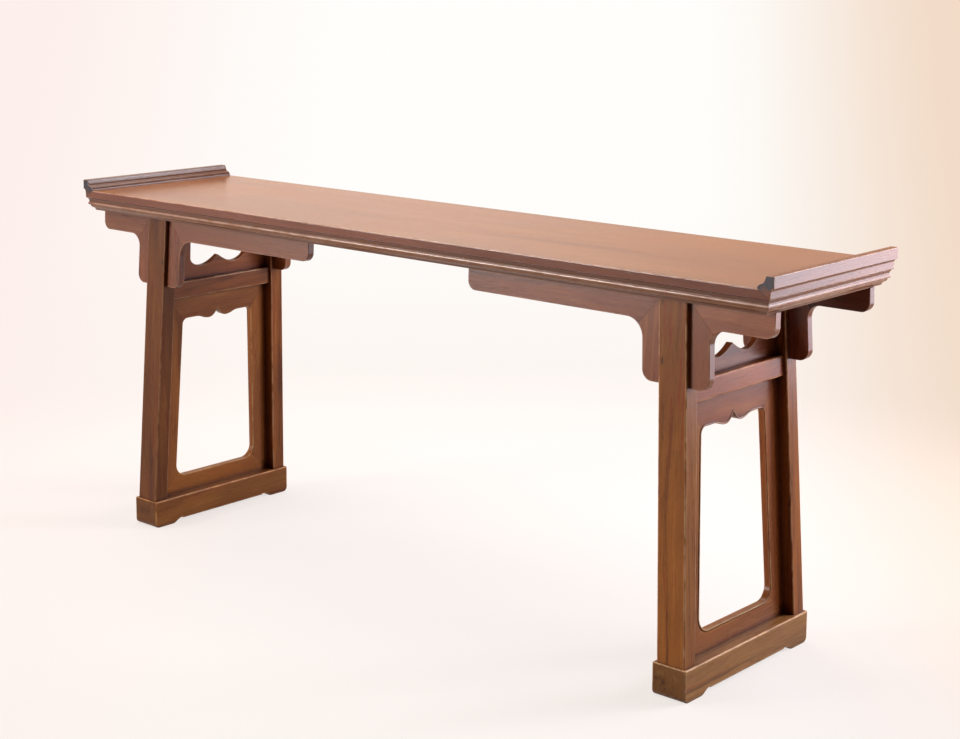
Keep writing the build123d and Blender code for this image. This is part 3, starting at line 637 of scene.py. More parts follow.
def moulding_along(path, profile):
    """A closed profile (out, w, wear and painted sheen, painted shade) carried along a path (u, v), out to
    its right.
    """
    along = np.gradient(path, axis=0)
    along /= np.hypot(*along.T)[:, None]
    right = np.stack([along[:, 1], -along[:, 0]], axis=1)
    out, w, worn, shade = profile.T
    flat = path[:, None] + right[:, None] * out[None, :, None]
    faces = tube(len(path), len(profile))
    smooth = [True] * (len(faces) - 2) + [False, False]
    shade = np.tile(shade[:, None], (len(path), 3))
    return Surface(stacked(flat, w[None]), faces, np.tile(worn, len(path)), smooth, shade=shade)


def placed(surface, place):
    """The surface with its points taken to the table's axes."""
    points = place(surface.points)
    return Surface(
        points, surface.faces, surface.worn, surface.smooth, surface.end_grain, surface.shade
    )


# ---- Places on the table ----


class Places:
    """What follows from the sizes: heights, and how the legs and boards lean."""

    def __init__(self, scene):
        self.top = scene.altar_table_top
        self.brackets = scene.altar_table_brackets
        self.ends = scene.altar_table_ends
        top, brackets, ends = self.top, self.brackets, self.ends
        self.underside = top.surface - top.edge
        self.foot_top = ends.foot_height
        self.outer_x = top.length / 2
        self.end_face_x = self.outer_x - top.setback
        self.shoulder_x = self.outer_x - top.flange_foot
        self.arm_foot = self.underside - brackets.arm
        self.spandrel_foot = self.underside - brackets.spandrel_height
        self.stretcher_top = top.surface - ends.stretcher_drop
        self.stretcher_foot = self.stretcher_top - ends.stretcher_height
        self.rail_top = self.foot_top + ends.rail
        self.head_foot = self.stretcher_foot - ends.head

    def leg_x(self, height):
        """The leg's middle along the table, which leans in by the tangent of its splay."""
        return self.brackets.leg_x - (height - self.foot_top) * math.tan(self.brackets.end_splay)

    def leg_y(self, height):
        """The leg's middle from front to back, which leans in as well."""
        return self.brackets.leg_y - (height - self.foot_top) * math.tan(self.brackets.face_splay)

    def inner_y(self, height):
        """The leg's inner face, where the boards of the end stop."""
        return self.leg_y(height) - self.brackets.leg_depth / 2

    def slot_half(self):
        """Half the width of the leg's slot, level."""
        return self.brackets.apron / math.cos(self.brackets.face_splay) / 2

    def on_apron(self, x, height):
        """A place on the leaning apron plane, v up it from the underside of the top."""
        return (x, (height - self.underside) / math.cos(self.brackets.face_splay))

    def apron_place(self, points):
        """(u, v, w) on the leaning apron plane, w inwards, to the table's axes."""
        u, v, w = points.T
        slope = self.brackets.face_splay
        face = self.leg_y(self.underside) + self.slot_half()
        return np.column_stack(
            [
                u,
                face - v * math.sin(slope) - w * math.cos(slope),
                self.underside + v * math.cos(slope) - w * math.sin(slope),
            ]
        )

    def on_board(self, y, height):
        """A place on the leaning plane of the end boards, v up it from the foot's top."""
        return (y, (height - self.foot_top) / math.cos(self.brackets.end_splay))

    def board_place(self, points):
        """(u, v, w) on the leaning middle plane of the end boards, w outwards."""
        u, v, w = points.T
        slope = self.brackets.end_splay
        return np.column_stack(
            [
                self.brackets.leg_x + w * math.cos(slope) - v * math.sin(slope),
                u,
                self.foot_top + v * math.cos(slope) + w * math.sin(slope),
            ]
        )


def edge_moulding(places, face):
    """The moulded edge from the foot of the band down to the underside."""
    top = places.top
    band_foot = top.surface - top.band
    cove_top = band_foot - top.quirk
    cove_foot = cove_top - top.cove
    bead_top = cove_foot - top.bead_fillet
    bead_foot = bead_top - top.bead
    ogee_top = bead_foot - top.bead_fillet
    ogee_middle = (ogee_top + places.underside) / 2
    bead_face = face - top.bead_inset
    middle = (face - top.ogee_middle, ogee_middle)
    return np.vstack(
        [
            [(face - top.batter, band_foot)],
            arc((face - top.cove_inset, cove_top), (bead_face, cove_foot), -top.cove_sag),
            arc((bead_face, bead_top), (bead_face, bead_foot), top.bead_sag, 12),
            arc((face - top.ogee_inset, ogee_top), middle, top.ogee_sag)[:-1],
            arc(middle, (face - top.underside_inset, places.underside), -top.ogee_sag),
        ]
    )


# ---- Materials ----


def add_node(tree, kind, inputs=(), **settings):
    """A node with its settings, and with sockets set to values or linked from outputs."""
    node = tree.nodes.new(kind)
    for key, value in settings.items():
        setattr(node, key, value)
    for key, value in dict(inputs).items():
        if isinstance(value, bpy.types.NodeSocket):
            tree.links.new(value, node.inputs[key])
        else:
            node.inputs[key].default_value = value
    return node


def cleared(owner):
    """The emptied node tree of a material or a world."""
    owner.use_nodes = True
    owner.node_tree.nodes.clear()
    return owner.node_tree


def opaque(shade):
    """A colour with its alpha."""
    return (*shade, 1.0)


def attribute(tree, name, output="Fac"):
    """A value that each point of a piece holds."""
    return add_node(tree, "ShaderNodeAttribute", attribute_name=name).outputs[output]


def maths(tree, operation, *values):
    """The result of one operation on numbers."""
    return add_node(tree, "ShaderNodeMath", enumerate(values), operation=operation).outputs[0]


def vector_maths(tree, operation, *values):
    """The result of one operation on vectors; a dot product or a length is a number."""
    node = add_node(tree, "ShaderNodeVectorMath", enumerate(values), operation=operation)
    return node.outputs["Value" if operation in ("DOT_PRODUCT", "LENGTH") else "Vector"]


def sum_of(tree, first, second, share=1.0):
    """first + second x share."""
    return maths(tree, "MULTIPLY_ADD", second, share, first)


def ramp(tree, value, low, high, low_out=0.0, high_out=1.0):
    """A smooth step of a value from low to high."""
    return add_node(
        tree,
        "ShaderNodeMapRange",
        {0: value, 1: low, 2: high, 3: low_out, 4: high_out},
        interpolation_type="SMOOTHSTEP",
    ).outputs[0]


def mixed(tree, factor, first, second):
    """Two colours mixed by a factor."""
    sockets = {0: factor, 6: first, 7: second}
    return add_node(tree, "ShaderNodeMix", sockets, data_type="RGBA").outputs[2]


def either(tree, factor, first, second):
    """Two shaders mixed by a factor."""
    sockets = {0: factor, 1: first.outputs[0], 2: second.outputs[0]}
    return add_node(tree, "ShaderNodeMixShader", sockets)


def stretched(tree, vector, along, across):
    """Places scaled along the grain and across it."""
    scale = (along, across, across)
    return add_node(tree, "ShaderNodeMapping", {"Vector": vector, "Scale": scale}).outputs[0]


def noise(tree, vector, along, across, detail, roughness=0.5, output="Fac"):
    """Cloudy noise from 0 to 1, with so many clouds in a metre along and across the grain."""
    sockets = {
        "Vector": stretched(tree, vector, along, across),
        "Scale": 1.0,
        "Detail": detail,
        "Roughness": roughness,
    }
    return add_node(tree, "ShaderNodeTexNoise", sockets).outputs[output]


LINES_PER_BAND = 2.2  # ink lines and red streaks lie closer than the growth bands
CORNER_SHADE_REACH = 0.028  # two faces nearer to each other than this get painted shade between them


def waxed_wood(colours, slot):
    """Waxed rosewood that follows the piece's own grain.

    The attribute grain holds the place along, across and through the board. Stretched noise
    on it gives growth bands, fibres, pores, red streaks and ink lines; worn holds where
    the arrises are rubbed and where a painted highlight lies, end_grain where the end of the board
    shows, and shading the painted light and shade of each place, with a change of hue on some
    boards. Ambient occlusion paints shade into the corners.
    """
    kind = WOODS[slot]
    material = bpy.data.materials.new(f"waxed_{slot}")
    tree = cleared(material)

    def shade(name):
        """A colour of the settings, with its alpha."""
        return opaque(getattr(colours, name))

    dark, body, light = (shade(f"{slot}_{tone}") for tone in TONES)

    # the grain, pushed sideways by slow noise
    grain = attribute(tree, "grain", "Vector")
    drift = noise(tree, grain, 2.4, 7.0, 3.0, output="Color")
    centred = vector_maths(tree, "SUBTRACT", drift, (0.5, 0.5, 0.5))
    sideways = (0.0, kind.wander, kind.wander)
    bent = vector_maths(tree, "MULTIPLY_ADD", centred, sideways, grain)

    band = noise(tree, bent, 0.7, kind.bands, 5.0, 0.6)
    fibre = noise(tree, bent, 14.0, 520.0, 3.0, 0.6)
    fleck = noise(tree, bent, 38.0, 900.0, 1.0)
    cloud = noise(tree, grain, 2.2, 6.0, 3.0, 0.55)
    line = noise(tree, bent, 0.55, kind.bands * LINES_PER_BAND, 2.0, 0.45)
    patch = noise(tree, grain, 30.0, 60.0, 2.0)
    fibre_swing = sum_of(tree, fibre, -0.5)
    cloud_swing = sum_of(tree, cloud, -0.5)

    # each weight and the colour that it lays over those before it
    growth = sum_of(tree, band, fibre_swing, 0.22)
    pore = ramp(tree, fleck, 0.36, 0.30, 0.0, 0.40)
    layers = [
        (ramp(tree, growth, 0.26, 0.48), body),
        (ramp(tree, growth, 0.50, 0.76), light),
        (ramp(tree, cloud, 0.34, 0.60, kind.clouds, 0.0), dark),
        (ramp(tree, line, 0.58, 0.72, 0.0, kind.streaks), shade("streak")),
        (ramp(tree, line, 0.34, 0.27, 0.0, kind.ink), shade("ink")),
        (pore, shade("ink")),
    ]
    if kind.knots:
        cells = {"Vector": stretched(tree, bent, 9.0, 22.0), "Scale": 1.0}
        spot = add_node(tree, "ShaderNodeTexVoronoi", cells).outputs["Distance"]
        layers.append((ramp(tree, spot, 0.10, 0.045, 0.0, kind.knots), shade("ink")))
    patchy = ramp(tree, patch, 0.34, 0.62, 0.18, 0.75)
    layers += [
        (maths(tree, "MULTIPLY", attribute(tree, "worn"), patchy), shade("worn")),
        (attribute(tree, "end_grain"), shade("grain_end")),
    ]
    tone = dark
    for weight, over in layers:
        tone = mixed(tree, weight, tone, over)

    tone = vector_maths(tree, "MULTIPLY", tone, attribute(tree, "shading", "Vector"))
    # painted shade: where ambient occlusion finds faces near, the colour goes towards the corner shade
    nook = add_node(tree, "ShaderNodeAmbientOcclusion", {"Distance": CORNER_SHADE_REACH}, samples=4)
    tone = mixed(tree, ramp(tree, nook.outputs["AO"], 0.82, 0.42, 0.0, 0.85), tone, shade("corner_shade"))

    rough = sum_of(tree, colours.gloss + kind.matt, fibre_swing, 0.16)
    rough = sum_of(tree, rough, cloud_swing, 0.10)
    height = sum_of(tree, sum_of(tree, fibre, pore, -0.7), patch, 0.35)
    bump = add_node(
        tree, "ShaderNodeBump", {"Height": height, "Strength": 0.22, "Distance": 0.0006}
    )
    shader = add_node(
        tree,
        "ShaderNodeBsdfPrincipled",
        {
            "Base Color": tone,
            "Roughness": rough,
            "Specular IOR Level": kind.shine * colours.shine,
            "Normal": bump.outputs[0],
            "Coat Weight": colours.wax,
            "Coat Roughness": 0.2,
            "Coat IOR": 1.5,
            "IOR": 1.5,
        },
    )
    add_node(tree, "ShaderNodeOutputMaterial", {"Surface": shader.outputs[0]})
    return material


def wood_of(scene, slot):
    """The wood of a slot, made once."""
    made = bpy.data.materials.get(f"waxed_{slot}")
    return made or waxed_wood(scene.altar_table_colours, slot)


# ---- Pieces ----

# the table's axes that run along, across and through a board
ALONG_X = np.array([(1, 0, 0), (0, 1, 0), (0, 0, 1)], float)
ALONG_Y = np.array([(0, 1, 0), (1, 0, 0), (0, 0, 1)], float)
ALONG_Z = np.array([(0, 0, 1), (1, 0, 0), (0, 1, 0)], float)

ENDS = {"right": 1, "left": -1}
ROWS = {"rear": 1, "front": -1}

GRAIN_CYCLES = (97, 61, 43)  # a piece's own place in the wood, counted along three axes
GRAIN_STEP = 0.173  # metres from one such place to the next

PLAIN = np.ones(3)
# painted light on the plank's edge: the band darker than the top as painted shade and bluer as a painted
# reflection, the cove and ogee darker as painted shade, the bead's upper part lighter as a painted
# highlight
BAND_SHADE_AND_SHEEN = (0.54, 0.48, 0.90)
COVE_PAINTED_SHADE = (0.52, 0.45, 0.35)
BEAD_PAINTED_HIGHLIGHT = (1.00, 1.20, 1.80)
OGEE_PAINTED_SHADE = (0.58, 0.52, 0.40)
# painted shade on the end faces of the feet, darker than their sides
FOOT_END_PAINTED_SHADE = (0.48, 0.44, 0.42)
SHADINGS = {
    # painted light and shade, board by board: each darker or lighter as light falls on it, some also
    # changed in hue
    "left_end_clamp": (0.44, 0.44, 0.54),
    "front_left_leg": (0.58, 0.54, 0.44),
    "front_right_leg": (1.26, 1.40, 1.40),
    "rear_right_leg": (1.10, 1.05, 0.90),
    "rear_left_leg": (1.05, 1.00, 0.95),
    "front_left_inner_apron": (0.84, 0.90, 1.10),
    "front_right_inner_apron": (0.94, 0.86, 0.84),
    "front_left_outer_apron": (0.90, 1.08, 1.50),
    "front_right_outer_apron": (1.24, 1.26, 1.36),
    "front_right_spandrel": (0.94, 0.96, 0.98),
    "rear_right_spandrel": (0.75, 0.60, 0.60),
    "rear_right_outer_apron": (0.75, 0.65, 0.65),
    "right_side_stretcher": (1.42, 1.34, 1.20),
    "left_side_stretcher": (0.85, 0.92, 0.80),
    "right_scalloped_board": (0.90, 0.85, 0.80),
    "right_frame_rail": (1.20, 1.45, 1.20),
    "left_frame_rail": (1.22, 1.45, 0.92),
    "left_frame_head": (0.90, 1.05, 0.85),
    "front_right_frame_stile": (1.10, 1.30, 1.00),
    "rear_right_frame_stile": (1.10, 1.10, 0.85),
    "front_left_frame_stile": (1.10, 1.30, 0.88),
    "rear_left_frame_stile": (1.10, 1.25, 0.88),
    "right_foot": (1.70, 2.00, 1.90),
    "left_foot": (1.35, 1.25, 0.85),
}


def make_piece(scene, name, surface, grain, slot, end=1, row=1):
    """One piece of wood in its place, drawn at the back right and mirrored to its own end.

    The grain's place is (along, across, through) the board plus an offset of the piece's own.
    """
    points = surface.points * (end, row, 1)
    faces = surface.faces if end * row > 0 else [face[::-1] for face in surface.faces]
    mesh = bpy.data.meshes.new(name)
    mesh.from_pydata(points.tolist(), [], faces)
    mesh.polygons.foreach_set("use_smooth", surface.smooth)
    edges = np.empty(len(mesh.loops), np.int32)
    mesh.loops.foreach_get("edge_index", edges)
    on_flat = np.repeat(~np.array(surface.smooth), [len(face) for face in faces])
    sharp = np.zeros(len(mesh.edges), bool)
    sharp[edges[on_flat]] = True
    mesh.edges.foreach_set("use_edge_sharp", sharp)
    seed = sum(ord(letter) * (place + 3) for place, letter in enumerate(name))
    offset = np.array([seed % cycle for cycle in GRAIN_CYCLES]) * GRAIN_STEP
    own = surface.points @ grain.T + offset
    for label, kind, field, values in (
        ("grain", "FLOAT_VECTOR", "vector", own),
        ("worn", "FLOAT", "value", surface.worn),
        ("end_grain", "FLOAT", "value", surface.end_grain),
        ("shading", "FLOAT_VECTOR", "vector", surface.shade * SHADINGS.get(name, PLAIN)),
    ):
        layer = mesh.attributes.new(label, kind, "POINT")
        layer.data.foreach_set(field, np.asarray(values, np.float32).ravel())
    mesh.materials.append(wood_of(scene, slot))
    mesh.update()
    piece = bpy.data.objects.new(f"{name}_dressed", mesh)
    scene.collection.objects.link(piece)
    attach(piece, "root")
    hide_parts(name)


def make_pair(scene, label, surface, grain, slot):
    """A piece at each end."""
    for word, end in ENDS.items():
        make_piece(scene, f"{word}_{label}", surface, grain, slot, end)


def make_four(scene, label, surface, grain, slot):
    """A piece at each leg."""
    for row_word, row in ROWS.items():
        for end_word, end in ENDS.items():
            name = f"{row_word}_{end_word}_{label}"
            make_piece(scene, name, surface, grain, slot, end, row)


# ---- Operators: one for each group of like pieces ----


PLANK_SOFT, CLAMP_SOFT = 0.0005, 0.0004  # rounding of the sharp points of their mouldings
MOULDING_REST = 0.0008  # from such a rounding to the next point of the section
CLAMP_ARRIS, CLAMP_FADE = 0.0012, 0.0015  # eased edge of the clamp's ends, and its rest
END_GRAIN_FALL = 4  # end grain fades out over a quarter of the band's height
UNDER_BAND = 0.0004  # takes the band's lowest points into its painted shade
SURFACE_SPARED = 0.0012  # head of the surface's arris, kept with the top's colour and out of the band's painted shade
PLANK_CLEAR = 0.004  # from the mitre's line to the first point of the softened edge
BEAD_HIGHLIGHT_SHARE = 0.6  # share of the plank's bead, from its top, that gets a painted highlight


class ALTAR_OT_plank(bpy.types.Operator):
    """Builds the plank of the top with its moulded front and back edges"""

    bl_idname = "altar.plank"
    bl_label = "Plank"

    def execute(self, context):
        places = Places(context.scene)
        top = places.top
        half = top.depth / 2
        run = places.end_face_x - places.shoulder_x
        rise = edge_moulding(places, half)[::-1]
        eased = top.surface_arris
        rounding = tangent_arc((half, top.surface - eased), (half - eased, top.surface), (0, 1))
        inner_low, inner_high = [(half - run, places.underside)], [(half - run, top.surface)]
        back = np.vstack([inner_low, rise, rounding, inner_high])
        back = soften(back, PLANK_SOFT, MOULDING_REST)
        back = back[back[:, 0] > half - run + PLANK_CLEAR]
        loop = np.vstack([inner_low, back, inner_high])
        section = mirrored(loop)

        def reach(y, z):
            """Half the length: to the shoulder, and past it in the mitre or up to the band."""
            mitre = np.abs(y) - (half - run)
            slope = (top.surface - z) * run / top.band
            return places.shoulder_x + np.maximum(0, np.minimum(mitre, slope))

        surface = bar(section, lambda y, z: -reach(y, z), reach)
        surface = self.with_caps(surface, section, len(loop), places.shoulder_x)
        height = surface.points[:, 1]
        band_foot = top.surface - top.band - UNDER_BAND
        bead_top = top.surface - top.band - top.quirk - top.cove - top.bead_fillet
        bead_middle = bead_top - top.bead * BEAD_HIGHLIGHT_SHARE
        # painted shade, reflection and highlight on the moulded edge, band by band
        for high, low, tint in (
            (top.surface - SURFACE_SPARED, band_foot, BAND_SHADE_AND_SHEEN),
            (band_foot, bead_top, COVE_PAINTED_SHADE),
            (bead_top, bead_middle, BEAD_PAINTED_HIGHLIGHT),
            (bead_middle, 0.0, OGEE_PAINTED_SHADE),
        ):
            surface.shade[(height <= high) & (height > low)] *= tint
        surface = placed(surface, lambda points: points[:, [2, 0, 1]])
        make_piece(context.scene, "top_plank", surface, ALONG_X, "tabletop_wood")
        return {"FINISHED"}

    def with_caps(self, surface, section, half_count, shoulder):
        """Closes each end by a grid of four columns, the inner two at the clamp's shoulder."""
        count = len(section)
        faces, smooth, points = surface.faces[:-2], surface.smooth[:-2], [surface.points]
        rows = np.arange(1, half_count - 1)
        outer = np.array([1, *rows, half_count - 2])
        near = np.column_stack(
            [np.full(len(rows), section[0, 0]), section[rows, 1], np.full(len(rows), shoulder)]
        )
        start = len(surface.points)
        for end, base in ((1, 0), (-1, count)):
            points += [near * (1, 1, end), near * (-1, 1, end)]
            inner = start + np.arange(len(rows))
            start += 2 * len(rows)
            plus = np.array([base, *inner, base + half_count - 1])
            minus = np.array([base + count - 1, *(inner + len(rows)), base + half_count])
            outer_plus, outer_minus = base + outer, base + count - 1 - outer
            for left, right in ((outer_minus, minus), (minus, plus), (plus, outer_plus)):
                quads = np.stack([left[:-1], right[:-1], right[1:], left[1:]], axis=1)
                quads = quads if end > 0 else quads[:, ::-1]
                kept = [list(dict.fromkeys(quad)) for quad in quads.tolist()]
                kept = [face for face in kept if len(face) > 2]
                faces += kept
                smooth += [False] * len(kept)
        points = np.vstack(points)
        added = len(points) - 2 * count
        worn = np.append(surface.worn, np.zeros(added))
        shade = np.vstack([surface.shade, np.ones((added, 3))])
        return Surface(points, faces, worn, smooth, shade=shade)


class ALTAR_OT_clamps(bpy.types.Operator):
    """Builds the end clamps, each in one piece with its everted flange"""

    bl_idname = "altar.clamps"
    bl_label = "End clamps and flanges"

    def execute(self, context):
        places = Places(context.scene)
        top = places.top
        half = top.depth / 2
        shoulder, face, outer = places.shoulder_x, places.end_face_x, places.outer_x
        run = face - shoulder
        crown = top.surface + top.flange_rise
        waist = (outer - top.flange_waist, top.surface + top.waist_rise)
        spread = (outer - top.flange_spread, top.surface + top.spread_rise)
        inner = outer - top.flange_crown
        eased = top.flange_arris
        flange = np.vstack(
            [
                [(shoulder, top.surface), (face - top.batter, top.surface - top.band)],
                arc(
                    (face, top.surface - top.end_cove_drop),
                    (outer, top.surface + top.end_cove_rise),
                    top.end_cove_sag,
                ),
                tangent_arc((outer, crown - eased), (outer - eased, crown), (0, 1), 8),
                tangent_arc((inner + eased, crown), (inner, crown - eased), (-1, 0), 8),
                arc(waist, spread, top.flange_cove_sag),
                arc(spread, (shoulder, top.surface), -top.flange_bead_sag)[1:-1],
            ]
        )
        flange = soften(flange, rest=0.001)

        def upright(points):
            """Stands the outline up, and leans its ends in with the band."""
            u, v, w = points.T
            fall = top.batter * np.clip((top.surface - v) / top.band, 0, 1)
            return np.column_stack([u, -w * (1 - fall / half), v])

        upper = board(flange, -half, half, CLAMP_ARRIS, fade=CLAMP_FADE, end_grain=1.0)
        upper.end_grain *= np.clip(1 + (upper.points[:, 1] - top.surface) / top.band * END_GRAIN_FALL, 0, 1)
        upper = placed(upper, upright)
        body = np.vstack(
            [
                [(shoulder, top.surface), (shoulder, places.underside)],
                edge_moulding(places, face)[::-1],
            ]
        )
        body = soften(body, CLAMP_SOFT, MOULDING_REST)
        lower = bar(
            body, lambda x, z: shoulder - half + run - x, lambda x, z: half - run + x - shoulder
        )
        lower = placed(lower, lambda points: points[:, [0, 2, 1]] * (1, -1, 1))
        make_pair(context.scene, "end_clamp", joined(upper, lower), ALONG_Y, "flange_wood")
        return {"FINISHED"}


class ALTAR_OT_legs(bpy.types.Operator):
    """Builds the legs, whose heads are slotted to clasp the spandrels"""

    bl_idname = "altar.legs"
    bl_label = "Legs"

    def execute(self, context):
        places = Places(context.scene)
        sizes = places.brackets
        x, y = sizes.leg_width / 2, sizes.leg_depth / 2
        section = rectangle((-x, -y), (x, y), sizes.leg_arris, 9)
        slot = places.slot_half()
        outer_cheek = soften(cut(section, ((0, slot), (1, 0))))
        inner_cheek = soften(cut(section, ((0, -slot), (-1, 0))))
        shaft = bar(section, lambda p, q: places.foot_top, lambda p, q: places.spandrel_foot)
        cheeks = [
            bar(cheek, lambda p, q: places.spandrel_foot, lambda p, q: places.underside)
            for cheek in (outer_cheek, inner_cheek)
        ]

        def leaning(points):
            """Moves each level slice of the leg with its leaning middle line."""
            p, q, height = points.T
            return np.column_stack([places.leg_x(height) + p, places.leg_y(height) + q, height])

        surface = placed(joined(shaft, *cheeks), leaning)
        make_four(context.scene, "leg", surface, ALONG_Z, "leg_wood")
        return {"FINISHED"}


HEAD_ROOM = 0.01  # the brackets' outline goes on above the underside, and is cut there


class ALTAR_OT_brackets(bpy.types.Operator):
    """Builds the spandrels and the inner and outer aprons that are mitred to them"""

    bl_idname = "altar.brackets"
    bl_label = "Aprons and spandrels"

    def execute(self, context):
        places = Places(context.scene)
        sizes = places.brackets
        knee = sizes.leg_width / 2 + sizes.spandrel_width
        head = places.underside + HEAD_ROOM
        inner_end = places.leg_x(places.underside) - sizes.leg_width / 2 - sizes.inner_reach
        outer_end = places.leg_x(places.underside) + sizes.leg_width / 2 + sizes.outer_reach
        arm, foot = places.arm_foot, places.spandrel_foot
        corners = [
            (inner_end, head, 0),
            (inner_end, arm, sizes.arm_corner),
            (places.leg_x(arm) - knee, arm, sizes.inner_knee),
            (places.leg_x(foot) - knee, foot, sizes.spandrel_corner),
            (places.leg_x(foot) + knee, foot, sizes.spandrel_corner),
            (places.leg_x(arm) + knee, arm, sizes.outer_knee),
            (outer_end, arm, sizes.arm_corner),
            (outer_end, head, 0),
        ]
        points = [places.on_apron(x, height) for x, height, radius in corners]
        outline = rounded(points, [radius for x, height, radius in corners])
        outline = cut(outline, ((0, 0), (-1, 0)))
        mitres = []
        for way in (-1, 1):
            low = np.array(places.on_apron(places.leg_x(arm) + way * knee, arm))
            edge = places.leg_x(places.underside) + way * sizes.leg_width / 2
            high = np.array(places.on_apron(edge, places.underside))
            mitres.append((low, high - low))
        (inner_knee, inner_line), (outer_knee, outer_line) = mitres
        joints = [*mitres, ((0, 0), LEVEL)]
        inner = cut(outline, (inner_knee, inner_line))
        outer = cut(outline, (outer_knee, -outer_line))
        spandrel = cut(cut(outline, (inner_knee, -inner_line)), (outer_knee, outer_line))
        for label, shape, grain in (
            ("inner_apron", inner, ALONG_X),
            ("outer_apron", outer, ALONG_X),
            ("spandrel", spandrel, ALONG_Z),
        ):
            shape = soften(shape, joints=joints)
            surface = board(shape, 0, sizes.apron, sizes.arris, joints)
            surface = placed(surface, places.apron_place)
            make_four(context.scene, label, surface, grain, "apron_wood")
        return {"FINISHED"}


ON_END = 0.0005  # points this near to the end of a foot lie on its end face


class ALTAR_OT_feet(bpy.types.Operator):
    """Builds the shoe feet with their pads and low arch"""

    bl_idname = "altar.feet"
    bl_label = "Shoe feet"

    def execute(self, context):
        places = Places(context.scene)
        sizes = places.ends
        end, height = sizes.foot_length / 2, sizes.foot_height
        pad = end - sizes.pad
        arch = pad - sizes.arch_run
        rise, cusp = sizes.arch_rise, sizes.arch_rise - sizes.arch_cusp
        curve = bezier(
            (arch, rise),
            (arch + sizes.arch_run / 2, rise),
            (pad - sizes.arch_run / 2, 0),
            (pad, 0),
        )
        radius = sizes.foot_end
        heel = tangent_arc((end - radius, 0), (end, radius), (1, 0))
        shoulder = tangent_arc(
            (end, height - sizes.foot_arris), (end - sizes.foot_arris, height), (0, 1), 7
        )
        back = np.vstack([[(arch - sizes.cusp_run, cusp)], curve, heel, shoulder])
        wide = sizes.foot_width / 2
        outline = soften(mirrored(back), 2 * SANDED)
        surface = board(outline, -wide, wide, sizes.foot_arris)
        across = places.brackets.leg_x
        on_end = np.abs(surface.points[:, 0]) > end - ON_END
        # painted shade: the end faces of the feet darker than their sides
        surface.shade[on_end & (np.abs(surface.points[:, 2]) < wide)] *= FOOT_END_PAINTED_SHADE
        surface = placed(surface, lambda points: points[:, [2, 0, 1]] + (across, 0, 0))
        make_pair(context.scene, "foot", surface, ALONG_Y, "foot_wood")
        return {"FINISHED"}


class ALTAR_OT_stretchers(bpy.types.Operator):
    """Builds the side stretchers and the scalloped boards that stand on them"""

    bl_idname = "altar.stretchers"
    bl_label = "Stretchers and scalloped boards"

    def execute(self, context):
        places = Places(context.scene)
        sizes = places.ends
        low = places.on_board(0, places.stretcher_foot)[1]
        high = places.on_board(0, places.stretcher_top)[1]
        wide = sizes.stretcher_width / 2
        section = rectangle((low, -wide), (high, wide), sizes.stretcher_arris, 8)

        def reach(v, w):
            """Half the length: to the inner face of the leg at that height."""
            return places.inner_y(places.foot_top + v)

        stretcher = bar(section, lambda v, w: -reach(v, w), reach)
        stretcher = placed(stretcher, lambda points: places.board_place(points[:, [2, 0, 1]]))
        make_pair(context.scene, "side_stretcher", stretcher, ALONG_Y, "frame_wood")

        peak = places.stretcher_top + sizes.peak
        trough = places.stretcher_top + sizes.trough
        upright = trough + sizes.cheek_rise
        on = places.on_board
        third, cheek, place = sizes.trough_y / 3, sizes.cheek_y, sizes.trough_y
        fall = bezier(
            on(0, peak), on(third, peak - sizes.peak_fall), on(2 * third, trough), on(place, trough)
        )
        climb = bezier(
            on(place, trough),
            on((place + cheek) / 2, trough),
            on(cheek, trough + sizes.cheek_rise / 2),
            on(cheek, upright),
        )
        base = places.inner_y(places.stretcher_top)
        head = places.inner_y(places.underside)
        back = np.vstack(
            [
                [on(base, places.stretcher_top)],
                [on(head, places.underside), on(cheek, places.underside)],
                climb[::-1],
                fall[::-1][1:],
            ]
        )
        low_corner, top_corner = back[:2]
        side = top_corner - low_corner
        joints = [
            (low_corner, LEVEL),
            (top_corner, LEVEL),
            (low_corner, side),
            (low_corner * FLIP, side * FLIP),
        ]
        outline = soften(mirrored(back), joints=joints)
        half = sizes.board / 2
        surface = board(outline, -half, half, sizes.board_arris, joints)
        surface = placed(surface, places.board_place)
        make_pair(context.scene, "scalloped_board", surface, ALONG_Y, "frame_wood")
        return {"FINISHED"}


SHADOW_STRIP_WIDTH = 0.0014  # of the dark strip beside the frame's bead, a painted shadow line
SHADOW_STRIP_PROUD = 0.0001  # how far the strip stands off the board
# how dark the painted shadow strip is, and the painted shade at the foot of the bead's flanks
SHADOW_STRIP_DARKNESS = 0.3
BEAD_ROOT = 0.002  # how deep the bead goes into the board


